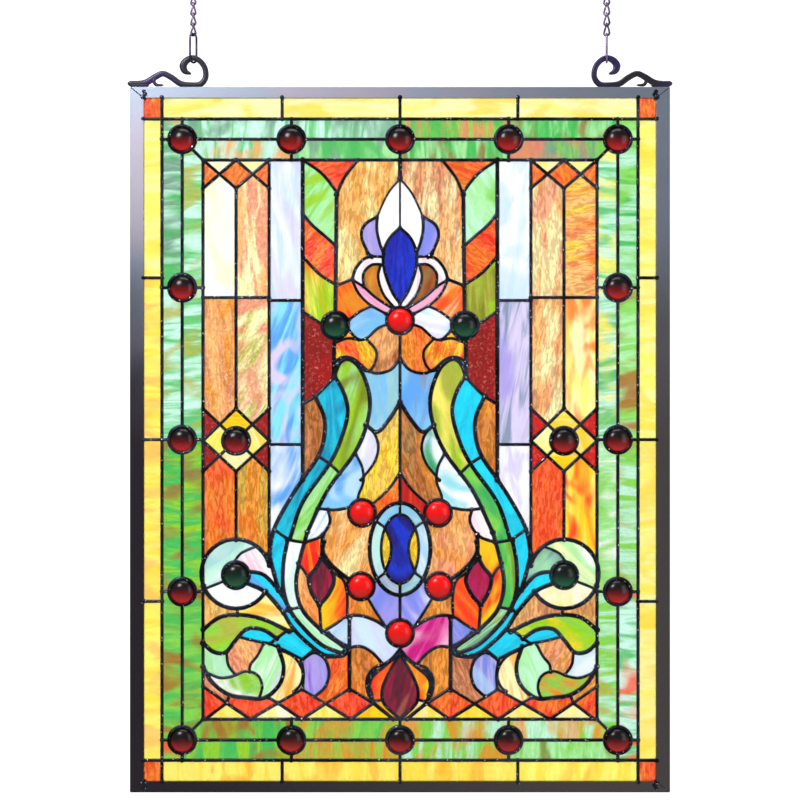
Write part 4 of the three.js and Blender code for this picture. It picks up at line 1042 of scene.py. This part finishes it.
# Seams of solder
SWELL_PITCH, LUMP_PITCH = 0.16, 0.42
LIP_PLAY = 0.2
SHARP_TURN = 0.4
DROP_RISE, DROP_SIZES = 1.12, (0.62, 0.8)
RING_SEAM, RING_RISE, RING_SIDES = 3.2, 1.15, 40


def resampled(points, step, closed=False):
    """Points along the line at even steps."""
    pts = [Vector(p) for p in points]
    if closed:
        pts.append(pts[0])
    lengths = [(b - a).length for a, b in zip(pts, pts[1:])]
    total = sum(lengths)
    count = max(2, int(round(total / step)))
    out, i, walked = [], 0, 0.0
    for k in range(count + (0 if closed else 1)):
        want = total * k / count
        while i < len(lengths) - 1 and walked + lengths[i] < want:
            walked += lengths[i]
            i += 1
        share = (want - walked) / max(lengths[i], 1e-6)
        out.append(pts[i].lerp(pts[i + 1], min(max(share, 0), 1)))
    return out


def sides_of(points, closed):
    """The unit vector across the line at each of its points."""
    count, out = len(points), []
    for i in range(count):
        a = points[(i - 1) % count] if closed or i else points[0]
        b = points[(i + 1) % count] if closed or i < count - 1 else points[-1]
        d = (b - a).normalized()
        out.append(Vector((-d.y, d.x)))
    return out


def bead(points, width, face, verts, faces, step, profile=7, closed=False, rise=SEAM_RISE, root=GLASS):
    """A run of solder: a low round bead on one face, its width and height never quite even."""
    line = resampled(points, step, closed)
    start, count = len(verts), len(line)
    for p, n in zip(line, sides_of(line, closed)):
        wobble = noise.noise(Vector((p.x * SWELL_PITCH, p.y * SWELL_PITCH, face * 3.0)))
        lump = noise.noise(Vector((p.x * LUMP_PITCH, p.y * LUMP_PITCH, 9.0 + face)))
        half = width / 2 * (1 + 0.10 * wobble + 0.06 * lump)
        height = rise * (0.9 + 0.16 * wobble + 0.12 * lump) + SEAM_FOOT
        for k in range(profile):
            a = math.pi * k / (profile - 1)
            q = p + n * (half * math.cos(a))
            verts.append(world(q.x, face * (root - SEAM_FOOT + height * math.sin(a) ** 0.75), q.y))
    stitch(faces, start, count, profile, closed)
    if not closed:
        cap(faces, start, profile)
        cap(faces, start + (count - 1) * profile, profile, turned=True)


def blob(centre, radius, rise, face, verts, faces, root=GLASS, sides=12, rings=4):
    """A drop of solder where runs meet."""
    start = len(verts)
    turn = random.uniform(0, 1)
    for r in range(rings):
        a = math.pi / 2 * r / rings
        y = face * (root - SEAM_FOOT + (rise + SEAM_FOOT) * math.sin(a))
        for k in range(sides):
            b = 2 * math.pi * (k + turn) / sides
            far = radius * math.cos(a) * (1 + 0.07 * noise.noise(Vector((centre.x, centre.y, k * 0.9))))
            verts.append(world(centre.x + far * math.cos(b), y, centre.y + far * math.sin(b)))
    verts.append(world(centre.x, face * (root + rise), centre.y))
    top = len(verts) - 1
    stitch(faces, start, rings, sides)
    last = start + (rings - 1) * sides
    faces.extend((last + k, last + (k + 1) % sides, top) for k in range(sides))
    cap(faces, start, sides, turned=True)


def within_sight(points):
    """The line cut off where the frame's lips cover it."""
    low, high, side = SIGHT_LOW + LIP_PLAY, SIGHT_HIGH - LIP_PLAY, SIGHT_X - LIP_PLAY
    return [Vector((max(-side, min(side, p.x)), max(low, min(high, p.y)))) for p in points]


def clear_runs(points, step):
    """The stretches of the line that lie outside every jewel."""
    runs = [[]]
    for p in resampled(points, step):
        if all((p - c).length > JEWEL - 0.6 for _, c, _ in JEWELS):
            runs[-1].append(p)
        elif runs[-1]:
            runs.append([])
    return [run for run in runs if len(run) > 1]


def corners(points):
    """The points where the line turns sharply."""
    return [b for a, b, c in zip(points, points[1:], points[2:]) if (b - a).angle(c - b) > SHARP_TURN]


# Narrow gaps between tiles that are run full of solder: the run's width, and its line
FILLS = [
    (BOLD, [[-75, 121.6], [-66, 118.6], [-57, 117.6]]),
    (5.6, [[-20.4, 107.0], [-26.0, 100.4], [-27.6, 92], [-25.4, 83]]),
    (WIDTH, [[-102, 172], [-99.6, 166.6]]),
]


def seams(face, step, profile):
    """All the runs, drops and rings of solder of one face of the panel."""
    verts, faces, joints = [], [], []
    for each in LEADS:
        width, line = each["width"], within_sight(each["points"])
        for run in clear_runs(line, step):
            bead(run, width, face, verts, faces, step, profile)
        joints += [(p, width) for p in (line[0], line[-1], *corners(each["points"]))]
    for width, points in FILLS:
        for s in (-1, 1):
            line = smooth([placed((s * x, z)) for x, z in points])
            bead(line, width, face, verts, faces, step, profile)
    for p, width in joints:
        if abs(p.x) < SIGHT_X - 1 and SIGHT_LOW + 1 < p.y < SIGHT_HIGH - 1:
            if all((p - c).length > JEWEL - 1 for _, c, _ in JEWELS):
                blob(p, width * random.uniform(*DROP_SIZES), SEAM_RISE * DROP_RISE, face, verts, faces)
    for _, centre, _ in JEWELS:
        ring = circle(centre, JEWEL + 0.55, RING_SIDES)
        bead(ring, RING_SEAM, face, verts, faces, step, profile, closed=True, rise=SEAM_RISE * RING_RISE)
    return verts, faces


piece("solder_front", *seams(-1, 1.7, 7), SOLDER_MATERIAL, "solder", ("solder_lattice_front",))
piece("solder_back", *seams(1, 3.0, 5), SOLDER_MATERIAL, "solder")


# Jewels
DOME_STEPS, DOME_SIDES = 8, 40


def jewel(centre, verts, faces):
    """A flat-backed round of pressed glass with a soft shoulder and a domed front."""
    brim, sides = JEWEL - 0.5, DOME_SIDES
    profile = [(JEWEL - 1.2, GLASS), (brim, GLASS - 0.3), (JEWEL - 0.3, 0.0)]
    for k in range(DOME_STEPS):
        a = math.pi / 2 * k / DOME_STEPS
        profile.append((brim * math.cos(a), -GLASS + 0.2 - (JEWEL_RISE + 0.2) * math.sin(a) ** 1.05))
    back = len(verts)
    verts.append(world(centre.x, GLASS, centre.y))
    for r, y in profile:
        for k in range(sides):
            b = 2 * math.pi * k / sides
            verts.append(world(centre.x + r * math.cos(b), y, centre.y + r * math.sin(b)))
    verts.append(world(centre.x, -GLASS - JEWEL_RISE, centre.y))
    top = len(verts) - 1
    stitch(faces, back + 1, len(profile), sides)
    for k in range(sides):
        after = (k + 1) % sides
        faces.append((back, back + 1 + after, back + 1 + k))
        faces.append((top, top - sides + k, top - sides + after))


for glass, material in JEWEL_MATERIALS.items():
    verts, faces, names = [], [], []
    for name, centre, kind in JEWELS:
        if kind == glass:
            jewel(centre, verts, faces)
            names.append(name)
    piece(f"jewels_{glass}", verts, faces, material, f"{glass}_jewel", names)


# Frame of zinc channel
BEND = 0.28
FRAME_FACE, DROP_OFF, DROP_RADII = 2.8, 0.6, (1.7, 2.2)
# Lumps at each inner corner: out along the frame, up from its opening, and radius
LUMPS = [(0.4, 0.8, 2.7), (-1.2, 3.0, 2.6), (-0.2, 5.4, 2.2)]


def rolled_bar(node, material):
    """The bar of the frame with its bent edges rounded, as rolled zinc has them."""
    mesh = frame["nodes"][node].data.copy()
    mesh.materials.clear()
    mesh.materials.append(material)
    bm = bmesh.new()
    bm.from_mesh(mesh)
    bmesh.ops.remove_doubles(bm, verts=bm.verts, dist=1e-6)
    bmesh.ops.dissolve_limit(bm, angle_limit=0.02, verts=bm.verts, edges=bm.edges)
    sharp = [e for e in bm.edges if len(e.link_faces) == 2 and e.calc_face_angle() > 0.6]
    bmesh.ops.bevel(bm, geom=sharp, offset=BEND * MM, segments=3, affect="EDGES", profile=0.5)
    bm.to_mesh(mesh)
    bm.free()
    obj = bpy.data.objects.new(f"bar_{node}", mesh)
    bpy.context.scene.collection.objects.link(obj)
    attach(obj, "root")
    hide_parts(node)


for node in ("frame_bottom", "frame_top"):
    rolled_bar(node, ZINC_ACROSS)
for node in ("frame_left", "frame_right"):
    rolled_bar(node, ZINC_UP)


def frame_solder():
    """The soldered mitres with their lumps, and a drop where each border seam meets the frame."""
    verts, faces = [], []

    def drop(x, z, radius):
        blob(Vector((x, z)), radius, 0.5, face, verts, faces, root=FRAME_FACE)

    for face in (-1, 1):
        for s in (-1, 1):
            for inner, way in ((SIGHT_LOW, 1), (SIGHT_HIGH, -1)):
                outer = 1.2 if way > 0 else FRAME_HEIGHT - 1.2
                ends = [Vector((s * (FRAME_WIDTH / 2 - 1.5), outer)), Vector((s * SIGHT_X, inner))]
                bead(ends, 1.1, face, verts, faces, 1.2, rise=0.12, root=FRAME_FACE)
                for out, up, size in LUMPS:
                    drop(s * (SIGHT_X + out), inner - way * up, size * random.uniform(0.85, 1.1))
        for x in (-RING_X, -TOP_BARS, 0, TOP_BARS, RING_X):
            for z in (SIGHT_LOW - DROP_OFF, SIGHT_HIGH + DROP_OFF):
                drop(x, z, random.uniform(*DROP_RADII))
        for z in (RING_LOW, MIDDLE - SIDE_BARS, MIDDLE, MIDDLE + SIDE_BARS, RING_HIGH):
            for x in (-SIGHT_X - DROP_OFF, SIGHT_X + DROP_OFF):
                drop(x, z, random.uniform(*DROP_RADII))
    piece("frame_solder", verts, faces, SOLDER_MATERIAL, "solder")


frame_solder()


# Scroll hooks: each point is across from the frame's corner, up from its top, and the bar's width
WAVE = [
    (-2.3, 3.3, 4.2), (7, 3.1, 4.6), (14, 4.3, 5.0), (21.6, 9.0, 4.8), (28.2, 11.8, 4.4), (35.5, 8.6, 4.6),
    (43.5, 3.2, 4.6), (52, 2.1, 4.1), (60.5, 2.6, 4.6), (65, 8, 4.4), (64.6, 16.5, 4.2), (60, 23, 4.2),
    (54.5, 25.4, 4.4), (48.8, 23.2, 5.2), (45.8, 18.6, 5.8), (47.4, 14, 4.8), (52.8, 11.5, 1.4),
]
CURL = [(22.5, 9.4, 3.2), (20.4, 5.8, 2.8), (22.2, 2.4, 2.6), (28.8, 1.9, 1.2)]
FOOT = [(-0.4, 1.5, 3.0), (8, 1.5, 3.0), (16, 1.6, 2.2)]
HOOK_DEPTH, HOOK_HALF = 1.5, 0.57
ROUNDING = 4


def bar(points, side, verts, faces, sides=14):
    """A bent bar with softly rounded edges, tapered at both ends."""
    plane = smooth([p[:2] for p in points], 9)
    count, spans = len(plane), len(points) - 1
    corner = Vector((-side * FRAME_WIDTH / 2, FRAME_HEIGHT))
    line = [corner + Vector((side * p.x, p.y)) for p in plane]
    start = len(verts)
    ends = [0.35, 0.75] + [1.0] * (count - 4) + [0.8, 0.4]
    for i, (p, n, end) in enumerate(zip(line, sides_of(line, False), ends)):
        at = i / (count - 1) * spans
        k = min(int(at), spans - 1)
        width = points[k][2] + (points[k + 1][2] - points[k][2]) * (at - k)
        for k in range(sides):
            a = 2 * math.pi * (k + 0.5) / sides
            c, s = math.cos(a), math.sin(a)
            flat = (abs(c) ** ROUNDING + abs(s) ** ROUNDING) ** (-1 / ROUNDING)
            q = p + n * (width * HOOK_HALF * end * c * flat)
            verts.append(world(q.x, HOOK_DEPTH * (0.6 + 0.4 * end) * s * flat, max(q.y, FRAME_HEIGHT)))
    stitch(faces, start, count, sides)
    cap(faces, start, sides, turned=True)
    cap(faces, start + (count - 1) * sides, sides)


for name, side in (("left", 1), ("right", -1)):
    verts, faces = [], []
    for points in (WAVE, CURL, FOOT):
        bar(points, side, verts, faces)
    piece(f"hook_{name}", verts, faces, ENAMEL, "enamelled_steel", (f"scroll_hook_{name}",))


# Chains
CHAIN_X = FRAME_WIDTH / 2 - 54.5
WIRE, RING_WIRE = 1.9, 2.4
LOOP_TURNS, RING_TURN = (("left", -1, 45.0), ("right", 1, 82.0)), 135.0
LOOP_MIDDLE, LOOP_SIZE = 644.0, (9.0, 27.0)
FIRST_LINK, LINK_PITCH, LINKS, LINK_SIZE = 660.1, 8.85, 4, (7.6, 12.5)
LINK_TURN, LINK_TWIST = 120.0, -90.0
RING_MIDDLE, RING_SIZE = 697.25, (17.0, 17.0)


def link(middle, x, size, wire, turn, twist, verts, faces, steps=36, sides=10):
    """A closed link of round wire, stood on end; its two ends are twisted out of one plane."""
    radius, straight = (size[0] - wire) / 2, (size[1] - size[0]) / 2
    start, path = len(verts), []
    for i in range(steps):
        a = 2 * math.pi * i / steps
        lift = straight * math.copysign(min(abs(math.sin(a)) * 6, 1), math.sin(a))
        path.append(Vector((radius * math.cos(a), 0, lift + radius * math.sin(a))))
    back = Vector((0, 1, 0))
    for i, p in enumerate(path):
        outward = (path[(i + 1) % steps] - path[i - 1]).normalized().cross(back)
        for k in range(sides):
            b = 2 * math.pi * k / sides
            q = p + (outward * math.cos(b) + back * math.sin(b)) * (wire / 2)
            spin = math.radians(turn + twist * q.z / size[1])
            verts.append(world(x, 0, middle) + Matrix.Rotation(spin, 3, "Z") @ q * MM)
    stitch(faces, start, steps, sides, closed=True)


for name, side, loop_turn in LOOP_TURNS:
    verts, faces, x = [], [], side * CHAIN_X
    link(LOOP_MIDDLE, x, LOOP_SIZE, WIRE, loop_turn, 0.0, verts, faces, 48)
    for i in range(LINKS):
        link(FIRST_LINK + i * LINK_PITCH, x, LINK_SIZE, WIRE, LINK_TURN, LINK_TWIST, verts, faces)
    link(RING_MIDDLE, x, RING_SIZE, RING_WIRE, RING_TURN, 0.0, verts, faces, 48)
    piece(f"links_{name}", verts, faces, CHAIN_STEEL, "chain_steel", (f"chain_{name}",))


# Studio
FLOOR_DROP, FLOOR_REACH = 1000.0, 3600
floor_mesh = bpy.data.meshes.new("floor")
around = [(x * FLOOR_REACH, y * FLOOR_REACH) for x, y in ((-1, -1), (1, -1), (1, 1), (-1, 1))]
floor_mesh.from_pydata([tuple(world(x, y, -FLOOR_DROP)) for x, y in around], [], [(0, 1, 2, 3)])
floor = bpy.data.objects.new("floor", floor_mesh)
bpy.context.scene.collection.objects.link(floor)
paint = Nodes("floor_paint")
mottle = paint.noise(paint.add("ShaderNodeTexCoord").outputs["Object"], 3.0)
paint.set(Base_Color=paint.mix(mottle, (0.80, 0.80, 0.79, 1), (0.86, 0.86, 0.85, 1)), Roughness=0.8)
floor_mesh.materials.append(paint.material)

# The room is white behind the panel, as the photographed one is, and softer in front of it
room = bpy.data.worlds.new("room")
bpy.context.scene.world = room
room.use_nodes = True
tree = room.node_tree
direction = tree.nodes.new("ShaderNodeTexCoord").outputs["Generated"]
parts = tree.nodes.new("ShaderNodeSeparateXYZ")
tree.links.new(direction, parts.inputs[0])
share = tree.nodes.new("ShaderNodeMapRange")
for key, value in (("From Min", -0.15), ("From Max", 0.55), ("To Min", 0.42), ("To Max", 1.3)):
    share.inputs[key].default_value = value
share.interpolation_type = "SMOOTHSTEP"
tree.links.new(parts.outputs[1], share.inputs["Value"])
tree.links.new(share.outputs["Result"], tree.nodes["Background"].inputs["Strength"])
tree.nodes["Background"].inputs["Color"].default_value = (1, 1, 1, 1)

PANEL_MIDDLE = world(0, 0, 320)


def softbox(name, offset, size, power):
    """A soft light that stands off from the middle of the panel and faces it."""
    light = bpy.data.lights.new(name, "AREA")
    light.shape = "RECTANGLE"
    light.size, light.size_y = size
    light.energy = power
    obj = bpy.data.objects.new(name, light)
    obj.location = PANEL_MIDDLE + Vector(offset)
    obj.rotation_euler = (PANEL_MIDDLE - obj.location).to_track_quat("-Z", "Y").to_euler()
    bpy.context.scene.collection.objects.link(obj)


softbox("key", (-0.75, -1.25, 0.95), (0.5, 0.5), 16.0)
softbox("fill", (1.3, -1.2, 0.2), (0.9, 1.4), 7.0)
softbox("top", (0.0, -0.5, 1.5), (1.2, 0.4), 8.0)

camera_data = bpy.data.cameras.new("camera")
camera_data.lens = 85.0
camera_data.sensor_width = 36.0
camera = bpy.data.objects.new("camera", camera_data)
camera.location = world(0, -1635.5, 339.3)
camera.rotation_euler = (math.pi / 2, 0, 0)
bpy.context.scene.collection.objects.link(camera)
bpy.context.scene.camera = camera
bpy.context.scene.view_settings.view_transform = "Standard"
